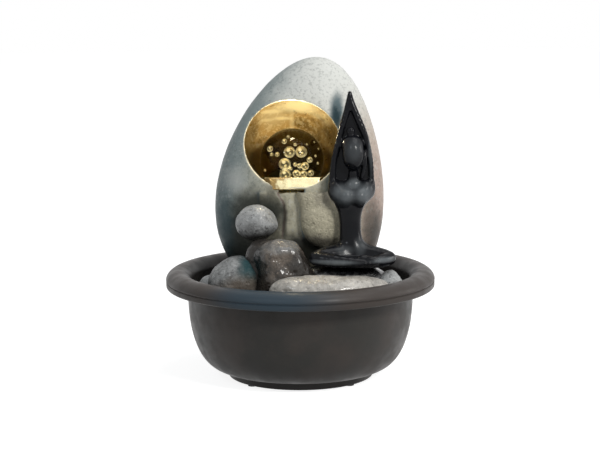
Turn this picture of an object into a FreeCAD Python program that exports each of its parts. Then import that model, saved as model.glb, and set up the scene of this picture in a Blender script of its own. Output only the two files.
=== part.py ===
import FreeCAD, Part
import math
import os
from FreeCAD import Vector

# Tabletop water fountain: a round bowl holds the water and a small submersible pump, and a cast stone scene
# stands on ribs in the bowl. Water rises through a hose into a gilded niche in an egg-shaped stone and turns a
# glass ball there. It runs over the niche's lip and falls over boulders beside a seated figure, back into
# the bowl.
#
# Millimetres. +Z is up, +X to the right seen from the front, +Y to the back. The origin is on the bowl's
# axis, at the level of the table. Each make_ function returns one node, and main() writes every node to parts/.

# ---------------------------------------------------------------- bowl
NECK_R = 88.0            # outer radius of the wall just under the rim
BOWL_H = 84.6            # height of the rim's crest over the table
CREST_OUT = 7.0          # how far the crest stands out from the neck
RIM_OUT = 17.0           # how far the turned-down rim stands out from the neck
RIM_DROP = 11.6          # from the crest down to the skirt's round edge
NECK_DROP = 14.6         # from the crest down to where the belly's curve ends
BELLY_POWER = 2.35       # 2 is an elliptic belly, more is fuller
BELLY_DRAW_IN = 1.0      # how much narrower the inside is at the tray than at the neck
CREST_ROUNDNESS = 0.86   # height of the inner shoulder's curve per its width
WALL = 3.0               # bowl wall
FLOOR_THICKNESS = 2.5    # bowl floor, over the foot ring
FOOT_R = 57.0            # outer radius of the foot ring
FOOT_WIDTH = 9.0         # radial width of the foot ring
FOOT_H = 6.4             # height of the foot ring
FOOT_STEP = 1.5          # from the foot ring out to where the belly starts
PAD_R = 3.6              # foam pads under the foot ring
PAD_THICKNESS = 2.0
PAD_RECESS = 1.2         # how deep a pad sits in the foot ring
PAD_GAP = 0.1
RIB_WIDTH = 8.0          # moulded ribs that carry the scene
RIB_REACH = 17.0         # how far a rib stands in from the neck's inner wall
RIB_COUNT = 4
CABLE_SLOT_WIDTH = 9.0   # slot through the rim at the back
GROMMET_WALL = 1.4
GROMMET_UP = 5.0         # how far the grommet stands over the skirt's edge
GROMMET_INSET = 1.2      # from the rim's outside to the grommet's end
PRESS = 0.05             # clearance of a piece that is pushed in and stays

# ---------------------------------------------------------------- tray that carries the scene
TRAY_DROP = 26.6         # from the rim's crest down to the tray's underside, on the ribs
TRAY_THICKNESS = 6.0
TRAY_EDGE_GAP = 2.4      # to the bowl's inner wall
DRAIN_R = 1.75
DRAIN_COUNT = 20
DRAIN_INSET = 5.0        # from the tray's edge to the drain holes' circle
TRAY_NOTCH_WIDTH = 12.0  # passage for the cable at the back
TRAY_NOTCH_DEPTH = 8.0

# ---------------------------------------------------------------- egg-shaped stone
EGG_WIDTH = 65.2         # half-width factor of the egg's outline
EGG_HALF_H = 96.4        # half-height of the whole egg, which the tray cuts off
EGG_H = 183.8            # height over the tray
EGG_TAPER = 0.212        # how much narrower the top half is than the bottom half
EGG_LEAN = 0.058         # sideways lean, x per z
EGG_X = 7.7              # x of the leaning axis at mid height
EGG_BOW = -7.3           # how far the egg's middle bows to the left
EGG_FULLNESS = 0.026     # how much the ends are filled out
EGG_HALF_DEPTH = 38.0    # half-depth factor, front to back
EGG_Y = 25.5             # y of the egg's middle plane
EGG_WALL = 6.0
COVER_R = 19.0           # service opening in the back
COVER_UP = 48.0          # its centre over the tray
COVER_GAP = 0.3
GRIP_HALF_W = 8.0        # grip across the service cover
GRIP_HALF_H = 1.6
GRIP_OUT = 3.5

# ---------------------------------------------------------------- gilded niche and what is in it
NICHE_X = -7.0
NICHE_UP = 118.0         # centre of the mouth over the tray
NICHE_HALF_W = 38.0      # inner half-width of the mouth
NICHE_HALF_H = 36.5      # inner half-height of the mouth
NICHE_Y = 12.0           # where the straight mouth turns into the domed back
NICHE_DOME = 36.0        # depth of the domed back
NICHE_MOUTH = 60.0       # length of the straight mouth before it is trimmed to the egg
NICHE_WALL = 2.5
NICHE_FLANK = 20.0       # how far the lip's form runs past the niche, before it is trimmed
GLUE_GAP = 0.2           # glue line between pieces of the cast scene
LIP_UP = 93.4            # crest of the niche's lip over the tray
LIP_Y = -8.4             # front of the crest
LIP_CREST = 3.0          # width of the crest, front to back
LIP_FOOT_UP = 83.6       # where the lip's gilded slope ends, over the tray
LIP_FOOT_Y = -13.5
CHANNEL_DEPTH = 3.0      # of the channel below the lip, into the egg
CHANNEL = [              # the channel's radius, and how far below the lip's foot, from the bottom up
    (6.5, 43.6),
    (8.0, 19.6),
    (13.0, -4.0),
]
BALL_R = 25.0
BALL_X = -6.0
BALL_Y = 18.5
BALL_GAP = 0.2           # film of water under the ball
BALL_OVER_LAMP = 0.6     # from the lamp's lens to the ball
BALL_CLEARANCE = 1.0     # from the ball to the niche
POCKET_R = 18.0          # round well under the ball
POCKET_UP = 68.0         # the well's floor over the tray
POCKET_FLOOR = 2.5
LAMP_GAP = 0.5           # between the lamp ring and the well
LAMP_RING_H = 10.0
LAMP_SKIN = 1.2
LAMP_BORE_GAP = 0.8      # between the lamp ring and the nozzle's nut
LENS_H = 2.0
BOARD_T = 1.2
BOARD_GAP = 0.1
LAMP_COUNT = 6
LAMP_R = 2.2
LAMP_H = 3.6
SEAT_WIDTH = 4.5         # ring that the ball lies in
SEAT_H = 7.4
LEAD_R = 1.5             # plug for the lamp's lead, through the well's floor
LEAD_PLUG_R = 2.4
LEAD_PLUG_H = 3.0
LEAD_OUT = 3.2           # from the nozzle's flange to the plug

# ---------------------------------------------------------------- water path
HOSE_WALL = 1.95
NIPPLE_R = 5.0           # outside of the pump's nipple and the nozzle's tail
NIPPLE_BORE = 3.4
SLIP = 0.05              # hose over nipple, shaft in magnet
NIPPLE_GRIP = 8.0        # length of nipple inside the hose
NIPPLE_DROP = 3.0        # from the tray's top down to the nipple's end
NOZZLE_TAIL = 14.0
NOZZLE_TO_BALL = 1.6
FLANGE_RIM = 3.4         # how far the nozzle's flange stands out
FLANGE_H = 1.5
GASKET_H = 1.0
NUT_RIM = 2.0            # how far the nut's corners stand out
NUT_H = 3.0
HOSE_HOLE_GAP = 2.5      # around the hose, through the tray
HOSE_END_GAP = 0.1       # from the hose's end to the nozzle's flange

# ---------------------------------------------------------------- pump
CUP_H = 6.0              # suction cups
CUP_R = 5.6
CUP_STEM_R = 2.6
CUP_LIP = 1.2
CUP_HOLLOW = 2.0
CUP_NECK_UP = 4.2        # from the bowl's floor to the cup's neck
CUP_INSET = 6.0          # from the pump's sides
CUP_FRONT = 5.0          # from the housing's front
CUP_REAR = 12.0          # from the housing's end
PUMP_HALF_W = 16.0
PUMP_H = 30.0
PUMP_LENGTH = 35.0       # motor housing
PUMP_WALL = 2.0
VOLUTE_R = 13.0
VOLUTE_BORE = 10.5
VOLUTE_LENGTH = 12.0
VOLUTE_FRONT = 1.6
PLATE_T = 2.5            # square plate at the volute's back, which the intake cover slides over
PLATE_INSET = 1.0
EYE_R = 1.7              # inlet holes around the front bush
EYE_CIRCLE = 5.2
EYE_COUNT = 6
ROTOR_R = 6.5
ROTOR_GAP = 0.5
ROTOR_LENGTH = 20.0
MAGNET_START = 0.5       # from the housing's front
WELL_WALL = 1.2
WELL_END = 1.5           # behind the rear bush
CORE_T = 4.0             # laminated core's bars
CORE_HALF_H = 7.0
CORE_GAP = 0.4           # to the rotor's well
CORE_SIDE_GAP = 1.4      # to the housing's walls
CORE_BEHIND = 4.0        # from the rear bush to the core's bridge
COIL_HALF_H = 10.0
COIL_OVER = 2.0          # how far the coil stands out over the bridge
COIL_GAP = 0.2
WHEEL_R = 8.5
WHEEL_T = 1.2
WHEEL_HUB_R = 3.2
WHEEL_FRONT_GAP = 0.6    # to the front bush
WHEEL_BACK_GAP = 1.0     # to the housing
BLADE_COUNT = 5
BLADE_T = 1.2
SHAFT_R = 1.0
SHAFT_END_GAP = 0.3
BUSH_R = 2.5
BUSH_LENGTH = 2.0
BUSH_SQUEEZE = 0.02      # rubber bush on its shaft and in its bore
COVER_WALL = 1.8
COVER_SLIDE_GAP = 0.2    # intake cover over the volute's plate
COVER_STOP = 0.6         # from the intake cover to the housing
COVER_REACH = 12.0       # intake cover ahead of the volute
LOUVRE_COUNT = 5         # slots in each side of the intake cover
LOUVRE_PITCH = 4.0
LOUVRE_H = 1.8
FILTER_GAP = 0.4
DIAL_R = 9.0
DIAL_T = 2.0
DIAL_GAP = 0.2
DIAL_STUB_R = 2.0
DIAL_STUB_GAP = 0.15
DIAL_HEAD_R = 2.8
DIAL_HEAD_T = 1.05
DIAL_GRIP_HALF_W = 1.1
DIAL_GRIP_H = 1.8
PORT_R = 2.2
PORT_CIRCLE = 5.8
PORT_COUNT = 4
GLAND_R = 3.6            # cable gland at the pump's back
GLAND_TIP_R = 2.6
GLAND_BORE = 1.6
GLAND_LENGTH = 6.0
GLAND_FLOOR = 2.0
GLAND_X = 8.0            # from the motor's axis
GLAND_UP = 7.0

# ---------------------------------------------------------------- stones
# centre (z over the tray), half-sizes, turn about Z in degrees, and lean to the right in degrees
STONES = {
    "middle_boulder": dict(at=(-13.0, -40.0, 26.0), half=(26.0, 17.5, 27.0), turn=-6.0, lean=-4.0),
    "shaded_boulder": dict(at=(-27.0, -26.5, 25.5), half=(16.0, 13.0, 26.5), turn=10.0, lean=0.0),
    "round_stone": dict(at=(-33.6, -17.5, 61.0), half=(16.6, 13.5, 14.2), turn=0.0, lean=6.0),
    "left_stone": dict(at=(-52.5, -27.0, 19.5), half=(22.5, 18.0, 20.5), turn=12.0, lean=0.0),
    "edge_stone": dict(at=(-68.0, -14.0, 10.0), half=(12.0, 17.0, 11.5), turn=20.0, lean=0.0),
    "leaning_boulder": dict(at=(15.0, -13.0, 62.5), half=(16.5, 8.0, 23.5), turn=0.0, lean=-12.0),
    "front_slab": dict(at=(10.0, -60.0, 13.0), half=(34.0, 13.5, 13.2), turn=0.0, lean=1.5),
    "right_slab": dict(at=(57.0, -46.5, 11.5), half=(18.0, 10.0, 12.0), turn=38.0, lean=0.0),
    "figure_plinth": dict(at=(41.0, -32.0, 14.0), half=(31.0, 23.0, 14.5), turn=0.0, lean=0.0),
}

# ---------------------------------------------------------------- seated figure, seen from the front
FIGURE_X = 40.0          # spine
FIGURE_Y = -27.0
SEAT_GAP = 0.5           # from the plinth's top to the level that the heights below are counted from
FIGURE_SCALE = 1.0       # of every offset below
TORSO = [                # height over the seat, half-width, half-depth, x and y offsets
    (3.0, 11.5, 8.0, 0.2, 0.0),
    (12.0, 10.2, 7.2, 0.3, 0.6),
    (27.0, 7.4, 5.4, -0.6, 2.6),
    (42.0, 9.6, 6.2, -0.2, 3.2),
    (53.0, 12.4, 6.8, 0.6, 3.4),
    (62.0, 13.2, 5.2, 0.9, 4.6),
    (66.0, 7.0, 4.0, 1.2, 5.2),
]
HEAD = ((1.5, 5.0, 85.0), (8.2, 8.2, 13.2))
BUN = ((-0.2, 8.0, 101.5), (4.2, 4.2, 4.6))
NECK = (((1.2, 5.2, 62.0), 3.4), ((1.5, 5.2, 76.0), 3.2))
ARMS = [                 # shoulder, elbow, forearm, wrist, fingertips, each with its radius
    [((-12.6, 5.0, 62.5), 4.0), ((-13.4, 6.4, 82.0), 3.1), ((-9.6, 9.0, 100.0), 2.7),
     ((-5.0, 11.6, 115.0), 2.5), ((-2.2, 13.8, 130.5), 1.3)],
    [((14.0, 5.0, 62.5), 4.0), ((15.2, 6.4, 82.0), 3.1), ((11.0, 9.0, 100.0), 2.7),
     ((4.4, 11.6, 115.0), 2.5), ((-0.8, 13.8, 130.5), 1.3)],
]
THIGHS = [
    [((-4.5, -1.0, 8.0), 7.4), ((-20.0, -9.0, 6.6), 6.0), ((-29.0, -12.0, 5.8), 4.8)],
    [((4.5, -1.0, 8.0), 7.4), ((18.0, -4.0, 6.0), 5.8), ((28.5, -5.5, 5.0), 4.6)],
]
SHINS = [
    [((-29.0, -12.0, 5.8), 4.7), ((-12.0, -17.5, 5.6), 4.4), ((7.0, -20.0, 4.6), 3.2)],
    [((28.5, -5.5, 5.0), 4.5), ((18.0, -14.0, 4.8), 4.2), ((2.0, -17.5, 3.6), 3.0)],
]
FEET = [((11.0, -21.0, 4.2), (6.5, 3.6, 3.4)), ((-3.0, -15.5, 3.6), (6.5, 3.6, 3.2))]
DOWEL_R = 1.5
DOWEL_LENGTH = 16.0
DOWEL_UP = 4.0           # its middle over the seat

# ---------------------------------------------------------------- how finely the free forms are made
EGG_RINGS = 10
STONE_RINGS = 6
STONE_CUT = 0.98         # lowest ring of a stone, as a share of its half-height
CURVE_STEPS = 6
PAST = 1.0               # how far a cutting body runs past what it cuts

# ---------------------------------------------------------------- sizes that follow from those above
PAD_STAND = PAD_THICKNESS - PAD_RECESS
FLOOR_Z = PAD_STAND + FOOT_H + FLOOR_THICKNESS      # top of the bowl's floor
NECK_INNER_R = NECK_R - WALL
NECK_Z = BOWL_H - NECK_DROP
CREST_R = NECK_R + CREST_OUT
RIM_R = NECK_R + RIM_OUT
RIM_EDGE_Z = BOWL_H - RIM_DROP
TRAY_Z = BOWL_H - TRAY_DROP
TRAY_R = NECK_INNER_R - BELLY_DRAW_IN - TRAY_EDGE_GAP
TRAY_TOP = TRAY_Z + TRAY_THICKNESS
EGG_MID_Z = TRAY_TOP + EGG_H - EGG_HALF_H
COVER_Z = TRAY_TOP + COVER_UP
NICHE_Z = TRAY_TOP + NICHE_UP
LIP_Z = TRAY_TOP + LIP_UP
LIP_FOOT_Z = TRAY_TOP + LIP_FOOT_UP
POCKET_FLOOR_Z = TRAY_TOP + POCKET_UP
LAMP_TOP = POCKET_FLOOR_Z + LAMP_RING_H
BALL_Z = LAMP_TOP + BALL_OVER_LAMP + BALL_R
PUMP_Z = FLOOR_Z + CUP_H                           # underside of the pump
AXIS_Z = PUMP_Z + PUMP_H / 2                       # motor axis
HOUSING_Y = BALL_Y + VOLUTE_LENGTH / 2             # front of the motor housing
HOUSING_END_Y = HOUSING_Y + PUMP_LENGTH
VOLUTE_Y = HOUSING_Y - VOLUTE_LENGTH               # front of the volute
COVER_FRONT_Y = VOLUTE_Y - COVER_REACH
MAGNET_Y = HOUSING_Y + MAGNET_START
REAR_BUSH_Y = MAGNET_Y + ROTOR_LENGTH + MAGNET_START
NIPPLE_TOP = TRAY_TOP - NIPPLE_DROP
HOSE_BOTTOM = NIPPLE_TOP - NIPPLE_GRIP
HOSE_BORE = NIPPLE_R + SLIP
HOSE_R = HOSE_BORE + HOSE_WALL
FLANGE_Z = POCKET_FLOOR_Z - POCKET_FLOOR - GASKET_H - FLANGE_H
FLANGE_R = NIPPLE_R + FLANGE_RIM
NUT_R = NIPPLE_R + NUT_RIM
PLINTH = STONES["figure_plinth"]
SEAT_Z = TRAY_TOP + PLINTH["at"][2] + PLINTH["half"][2] + SEAT_GAP
AXIS_X, AXIS_Y, AXIS_UP = Vector(1, 0, 0), Vector(0, 1, 0), Vector(0, 0, 1)


# ---------------------------------------------------------------- helpers
def box(x0, x1, y0, y1, z0, z1):
    return Part.makeBox(x1 - x0, y1 - y0, z1 - z0, Vector(x0, y0, z0))


def upright(x, y, radius, z0, z1):
    return Part.makeCylinder(radius, z1 - z0, Vector(x, y, z0))


def along_y(x, z, radius, y0, y1):
    return Part.makeCylinder(radius, y1 - y0, Vector(x, y0, z), AXIS_Y)


def ring(x, y, outer, inner, z0, z1):
    return upright(x, y, outer, z0, z1).cut(upright(x, y, inner, z0 - PAST, z1 + PAST))


def ellipsoid(at, half):
    stretch = FreeCAD.Matrix()
    stretch.scale(*half)
    stretch.move(Vector(*at))
    return Part.makeSphere(1.0).transformGeometry(stretch)


def level_ellipse(centre, half_x, half_y, turn=0.0):
    """A level ellipse, turned about the vertical."""
    wide = half_x >= half_y
    wire = Part.Wire(Part.Ellipse(Vector(), max(half_x, half_y), min(half_x, half_y)).toShape())
    wire.rotate(Vector(), AXIS_UP, turn if wide else turn + 90)
    wire.translate(centre)
    return wire


def point_on(r, z):
    return Vector(r, 0, z)


def elliptic_arc(centre_r, centre_z, half_r, half_z, start, end):
    """A quarter of an ellipse in the RZ plane, between two angles in degrees, as a spline of its formula."""
    angles = [math.radians(start + (end - start) * i / CURVE_STEPS) for i in range(CURVE_STEPS + 1)]
    points = [point_on(centre_r + half_r * math.cos(a), centre_z + half_z * math.sin(a)) for a in angles]
    curve = Part.BSplineCurve()
    curve.interpolate(points)
    return curve.toShape()


def spline_edge(points):
    curve = Part.BSplineCurve()
    curve.interpolate(points)
    return curve.toShape()


def line(a, b):
    return Part.LineSegment(a, b).toShape()


def revolved(edges):
    return Part.Face(Part.Wire(edges)).revolve(Vector(), AXIS_UP, 360)


def offset_inward(points, distance):
    """Moves a profile's points towards the axis, square to the line through their neighbours."""
    moved = []
    for i, p in enumerate(points):
        before, after = points[max(i - 1, 0)], points[min(i + 1, len(points) - 1)]
        run = (after - before).normalize()
        moved.append(p + Vector(-run.z, 0, run.x) * distance)
    return moved


def limb(stations):
    """A round limb through points with radii, with round ends."""
    points = [Vector(*p) for p, _ in stations]
    rings = []
    for i, (_, radius) in enumerate(stations):
        run = points[min(i + 1, len(points) - 1)] - points[max(i - 1, 0)]
        rings.append(Part.Wire(Part.makeCircle(radius, points[i], run)))
    ends = [Part.makeSphere(stations[i][1] * 1.01, points[i]) for i in (0, -1)]
    return Part.makeLoft(rings, True, False).fuse(ends)


def figure_point(p):
    return (FIGURE_X + p[0] * FIGURE_SCALE, FIGURE_Y + p[1] * FIGURE_SCALE, SEAT_Z + p[2] * FIGURE_SCALE)


# ---------------------------------------------------------------- bowl and its fittings
def belly_points():
    """The belly's outer outline, from the foot to the neck: a superellipse quarter."""
    foot_r, foot_z = FOOT_R + FOOT_STEP, PAD_STAND + FOOT_H
    points = []
    for share in (0.0, 0.28, 0.52, 0.72, 0.88, 1.0):
        angle = math.radians(90 * share)
        r = foot_r + (NECK_R - foot_r) * math.sin(angle) ** (2 / BELLY_POWER)
        z = NECK_Z - (NECK_Z - foot_z) * math.cos(angle) ** (2 / BELLY_POWER)
        points.append(point_on(r, z))
    return points


def bowl_outside():
    """The bowl's outer form as a filled solid, from the foot ring to the neck."""
    belly = belly_points()
    top, start = belly[-1], belly[0]
    edges = [line(point_on(0, PAD_STAND), point_on(FOOT_R, PAD_STAND)),
             line(point_on(FOOT_R, PAD_STAND), point_on(FOOT_R, start.z)),
             line(point_on(FOOT_R, start.z), start),
             spline_edge(belly),
             line(top, point_on(0, top.z)),
             line(point_on(0, top.z), point_on(0, PAD_STAND))]
    return revolved(edges)


def bowl_inside():
    """The space inside the bowl, from the floor to the neck."""
    inner = offset_inward(belly_points(), WALL)
    inner[0] = point_on(inner[0].x, FLOOR_Z)
    inner[-1] = point_on(NECK_INNER_R, NECK_Z)
    edges = [line(point_on(0, FLOOR_Z), inner[0]),
             spline_edge(inner),
             line(inner[-1], point_on(0, NECK_Z)),
             line(point_on(0, NECK_Z), point_on(0, FLOOR_Z))]
    return revolved(edges)


def turned_rim():
    """The rim: up from the neck, over the crest and down to a round edge, one wall thick, open underneath."""
    shoulder_z = BOWL_H - (CREST_R - NECK_INNER_R) * CREST_ROUNDNESS
    skirt = RIM_R - CREST_R
    rise_out, rise_in = BOWL_H - RIM_EDGE_Z, BOWL_H - shoulder_z
    edge_round = Part.Arc(point_on(RIM_R, RIM_EDGE_Z), point_on(RIM_R - WALL / 2, RIM_EDGE_Z - WALL / 2),
                          point_on(RIM_R - WALL, RIM_EDGE_Z)).toShape()
    edges = [line(point_on(NECK_INNER_R, NECK_Z), point_on(NECK_INNER_R, shoulder_z)),
             elliptic_arc(CREST_R, shoulder_z, CREST_R - NECK_INNER_R, rise_in, 180, 90),
             elliptic_arc(CREST_R, RIM_EDGE_Z, skirt, rise_out, 90, 0),
             edge_round,
             elliptic_arc(CREST_R, RIM_EDGE_Z, skirt - WALL, rise_out - WALL, 0, 90),
             elliptic_arc(CREST_R, shoulder_z, CREST_R - NECK_R, rise_in - WALL, 90, 180),
             line(point_on(NECK_R, shoulder_z), point_on(NECK_R, NECK_Z)),
             line(point_on(NECK_R, NECK_Z), point_on(NECK_INNER_R, NECK_Z))]
    return revolved(edges)


def rib(index):
    """One moulded rib: it rises from the belly to the tray, and never stands out through the wall."""
    inner_r = NECK_INNER_R - RIB_REACH
    bar = box(inner_r, NECK_R, -RIB_WIDTH / 2, RIB_WIDTH / 2, PAD_STAND + FOOT_H, TRAY_Z)
    bar.rotate(Vector(), AXIS_UP, 360 / RIB_COUNT * (index + 0.5))
    return bar


def pad_places():
    r = FOOT_R - FOOT_WIDTH / 2
    return [(r * math.cos(a), r * math.sin(a)) for a in (math.radians(90 * i + 45) for i in range(4))]


def make_bowl():
    outside = bowl_outside()
    ribs = [rib(i).common(outside) for i in range(RIB_COUNT)]
    shell = outside.cut(bowl_inside())
    shell = shell.cut(upright(0, 0, FOOT_R - FOOT_WIDTH, 0, FLOOR_Z - WALL))
    shell = shell.fuse(ribs).removeSplitter()
    return shell.cut([upright(x, y, PAD_R + PAD_GAP, 0, PAD_THICKNESS) for x, y in pad_places()])


def make_bowl_rim():
    """The turned rim, moulded with the bowl: a node of its own, so that its underside stays open."""
    slot = box(-CABLE_SLOT_WIDTH / 2, CABLE_SLOT_WIDTH / 2, NECK_INNER_R - WALL, RIM_R + WALL,
               NECK_Z - PAST, BOWL_H + PAST)
    return turned_rim().cut(slot)


def make_foot_pads():
    return Part.Compound([upright(x, y, PAD_R, 0, PAD_THICKNESS) for x, y in pad_places()])


def make_cable_grommet():
    """A U-shaped rubber liner in the slot through the rim."""
    half = CABLE_SLOT_WIDTH / 2 - PRESS
    low, high = NECK_Z + PRESS, RIM_EDGE_Z + GROMMET_UP
    start, end = NECK_INNER_R - GROMMET_INSET, RIM_R - GROMMET_INSET
    outer = box(-half, half, start, end, low, high)
    inner = box(GROMMET_WALL - half, half - GROMMET_WALL, start - PAST, end + PAST,
                low + GROMMET_WALL, high + PAST)
    return outer.cut(inner)


# ---------------------------------------------------------------- pump
def make_suction_cups():
    corners = [point_on(0, PUMP_Z), point_on(0, FLOOR_Z + CUP_HOLLOW),
               point_on(CUP_R - CUP_LIP, FLOOR_Z), point_on(CUP_R, FLOOR_Z),
               point_on(CUP_STEM_R, FLOOR_Z + CUP_NECK_UP), point_on(CUP_STEM_R, PUMP_Z)]
    cup = revolved([line(a, b) for a, b in zip(corners, corners[1:] + corners[:1])])
    cups = []
    for side in (-1, 1):
        for y in (HOUSING_Y + CUP_FRONT, HOUSING_END_Y - CUP_REAR):
            one = cup.copy()
            one.translate(Vector(BALL_X + side * (PUMP_HALF_W - CUP_INSET), y, 0))
            cups.append(one)
    return Part.Compound(cups)


def pump_block(inset, y0, y1):
    return box(BALL_X - PUMP_HALF_W + inset, BALL_X + PUMP_HALF_W - inset, y0, y1,
               PUMP_Z + inset, PUMP_Z + PUMP_H - inset)


def on_axis(radius, y0, y1):
    """A cylinder about the motor's axis."""
    return along_y(BALL_X, AXIS_Z, radius, y0, y1)


def well_bore():
    return on_axis(ROTOR_R + ROTOR_GAP, HOUSING_Y - PAST, REAR_BUSH_Y)


def well_outside():
    return on_axis(ROTOR_R + ROTOR_GAP + WELL_WALL, HOUSING_Y, REAR_BUSH_Y + BUSH_LENGTH + WELL_END)


def make_pump_housing():
    inside = pump_block(PUMP_WALL, HOUSING_Y + PUMP_WALL, HOUSING_END_Y + PAST)
    shell = pump_block(0, HOUSING_Y, HOUSING_END_Y).cut(inside)
    shell = shell.fuse(well_outside()).cut(well_bore())
    return shell.cut(on_axis(BUSH_R, REAR_BUSH_Y - PAST, REAR_BUSH_Y + BUSH_LENGTH))


def core_bars():
    """The laminated core: a U of square section, its legs beside the rotor well and its bridge behind it."""
    bridge_y = REAR_BUSH_Y + BUSH_LENGTH + CORE_BEHIND
    leg_in, leg_out = ROTOR_R + ROTOR_GAP + WELL_WALL + CORE_GAP, PUMP_HALF_W - PUMP_WALL - CORE_SIDE_GAP
    low, high = AXIS_Z - CORE_HALF_H, AXIS_Z + CORE_HALF_H
    legs = [box(BALL_X + min(s * leg_in, s * leg_out), BALL_X + max(s * leg_in, s * leg_out),
                HOUSING_Y + 2 * PUMP_WALL, bridge_y + CORE_T, low, high) for s in (-1, 1)]
    bridge = box(BALL_X - leg_out, BALL_X + leg_out, bridge_y, bridge_y + CORE_T, low, high)
    return legs, bridge, bridge_y


def make_stator_core():
    legs, bridge, _ = core_bars()
    return bridge.fuse(legs).removeSplitter()


def make_stator_coil():
    _, bridge, bridge_y = core_bars()
    half = ROTOR_R + ROTOR_GAP + WELL_WALL - COIL_GAP
    block = box(BALL_X - half, BALL_X + half, bridge_y - COIL_OVER, bridge_y + CORE_T + COIL_OVER,
                AXIS_Z - COIL_HALF_H, AXIS_Z + COIL_HALF_H)
    return block.cut(bridge)


def make_pump_potting():
    fill = pump_block(PUMP_WALL, HOUSING_Y + PUMP_WALL, HOUSING_END_Y)
    return fill.cut([well_outside(), make_stator_core(), make_stator_coil()])


def make_volute_cover():
    shape = on_axis(VOLUTE_R, VOLUTE_Y, HOUSING_Y)
    plate = pump_block(PLATE_INSET, HOUSING_Y - PLATE_T, HOUSING_Y)
    nipple = upright(BALL_X, BALL_Y, NIPPLE_R, AXIS_Z, NIPPLE_TOP)
    shape = shape.fuse([plate, nipple])
    shape = shape.cut(on_axis(VOLUTE_BORE, VOLUTE_Y + VOLUTE_FRONT, HOUSING_Y + PAST))
    shape = shape.cut(upright(BALL_X, BALL_Y, NIPPLE_BORE, AXIS_Z, NIPPLE_TOP + PAST))
    shape = shape.cut(on_axis(BUSH_R, VOLUTE_Y - PAST, VOLUTE_Y + BUSH_LENGTH))
    eye_end = VOLUTE_Y + VOLUTE_FRONT + PAST
    return shape.cut(holes_around(EYE_COUNT, EYE_CIRCLE, EYE_R, VOLUTE_Y - PAST, eye_end))


def holes_around(count, circle, radius, y0, y1):
    """Round holes along Y, evenly spaced about the motor's axis."""
    angles = [math.radians(360 / count * i) for i in range(count)]
    return [along_y(BALL_X + circle * math.cos(a), AXIS_Z + circle * math.sin(a), radius, y0, y1)
            for a in angles]


def make_shaft_bushes():
    bushes = []
    for y in (VOLUTE_Y, REAR_BUSH_Y):
        hole = on_axis(SHAFT_R + BUSH_SQUEEZE, y - PAST, y + BUSH_LENGTH + PAST)
        bushes.append(on_axis(BUSH_R - BUSH_SQUEEZE, y, y + BUSH_LENGTH).cut(hole))
    return Part.Compound(bushes)


def make_impeller_shaft():
    return on_axis(SHAFT_R, VOLUTE_Y + SHAFT_END_GAP, REAR_BUSH_Y + BUSH_LENGTH - SHAFT_END_GAP)


def make_rotor_magnet():
    end = MAGNET_Y + ROTOR_LENGTH
    return on_axis(ROTOR_R, MAGNET_Y, end).cut(on_axis(SHAFT_R + SLIP, MAGNET_Y - PAST, end + PAST))


def make_impeller_wheel():
    front = VOLUTE_Y + BUSH_LENGTH + WHEEL_FRONT_GAP
    plate_y = HOUSING_Y - WHEEL_BACK_GAP - WHEEL_T
    hub = on_axis(WHEEL_HUB_R, front, MAGNET_Y)
    plate = on_axis(WHEEL_R, plate_y, plate_y + WHEEL_T)
    blades = []
    for i in range(BLADE_COUNT):
        blade = box(WHEEL_HUB_R / 2, WHEEL_R, front + BLADE_T / 2, plate_y + WHEEL_T / 2,
                    -BLADE_T / 2, BLADE_T / 2)
        blade.rotate(Vector(), AXIS_Y, 360 / BLADE_COUNT * i)
        blade.translate(Vector(BALL_X, 0, AXIS_Z))
        blades.append(blade.common(on_axis(WHEEL_R, front, plate_y + WHEEL_T)))
    wheel = hub.fuse([plate] + blades)
    return wheel.cut(on_axis(SHAFT_R + SLIP, front - PAST, MAGNET_Y + PAST))


def intake_inside(inset, y0, y1):
    """The space inside the intake cover, which slides over the volute's plate."""
    return pump_block(PLATE_INSET - COVER_SLIDE_GAP + inset, y0, y1)


def make_intake_cover():
    front, rear = COVER_FRONT_Y, HOUSING_Y - COVER_STOP
    shell = intake_inside(-COVER_WALL, front, rear).cut(intake_inside(0, front + COVER_WALL, rear + PAST))
    beside = NIPPLE_R + COVER_STOP
    shell = shell.cut(box(BALL_X - beside, BALL_X + beside, BALL_Y - beside, rear + PAST,
                          AXIS_Z, PUMP_Z + PUMP_H + 2 * COVER_WALL))
    shell = shell.cut(on_axis(DIAL_STUB_R + DIAL_STUB_GAP, front - PAST, front + COVER_WALL + PAST))
    shell = shell.cut(holes_around(PORT_COUNT, PORT_CIRCLE, PORT_R, front - PAST, front + COVER_WALL + PAST))
    for side in (-1, 1):
        x = BALL_X + side * (PUMP_HALF_W - PLATE_INSET + COVER_WALL)
        for i in range(LOUVRE_COUNT):
            z = AXIS_Z + LOUVRE_PITCH * (i - (LOUVRE_COUNT - 1) / 2)
            shell = shell.cut(box(x - 2 * COVER_WALL, x + 2 * COVER_WALL, front + 2 * COVER_WALL, VOLUTE_Y,
                                  z - LOUVRE_H / 2, z + LOUVRE_H / 2))
    return shell


def make_intake_filter():
    return intake_inside(FILTER_GAP, COVER_FRONT_Y + 2 * COVER_WALL, VOLUTE_Y - FILTER_GAP)


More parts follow.
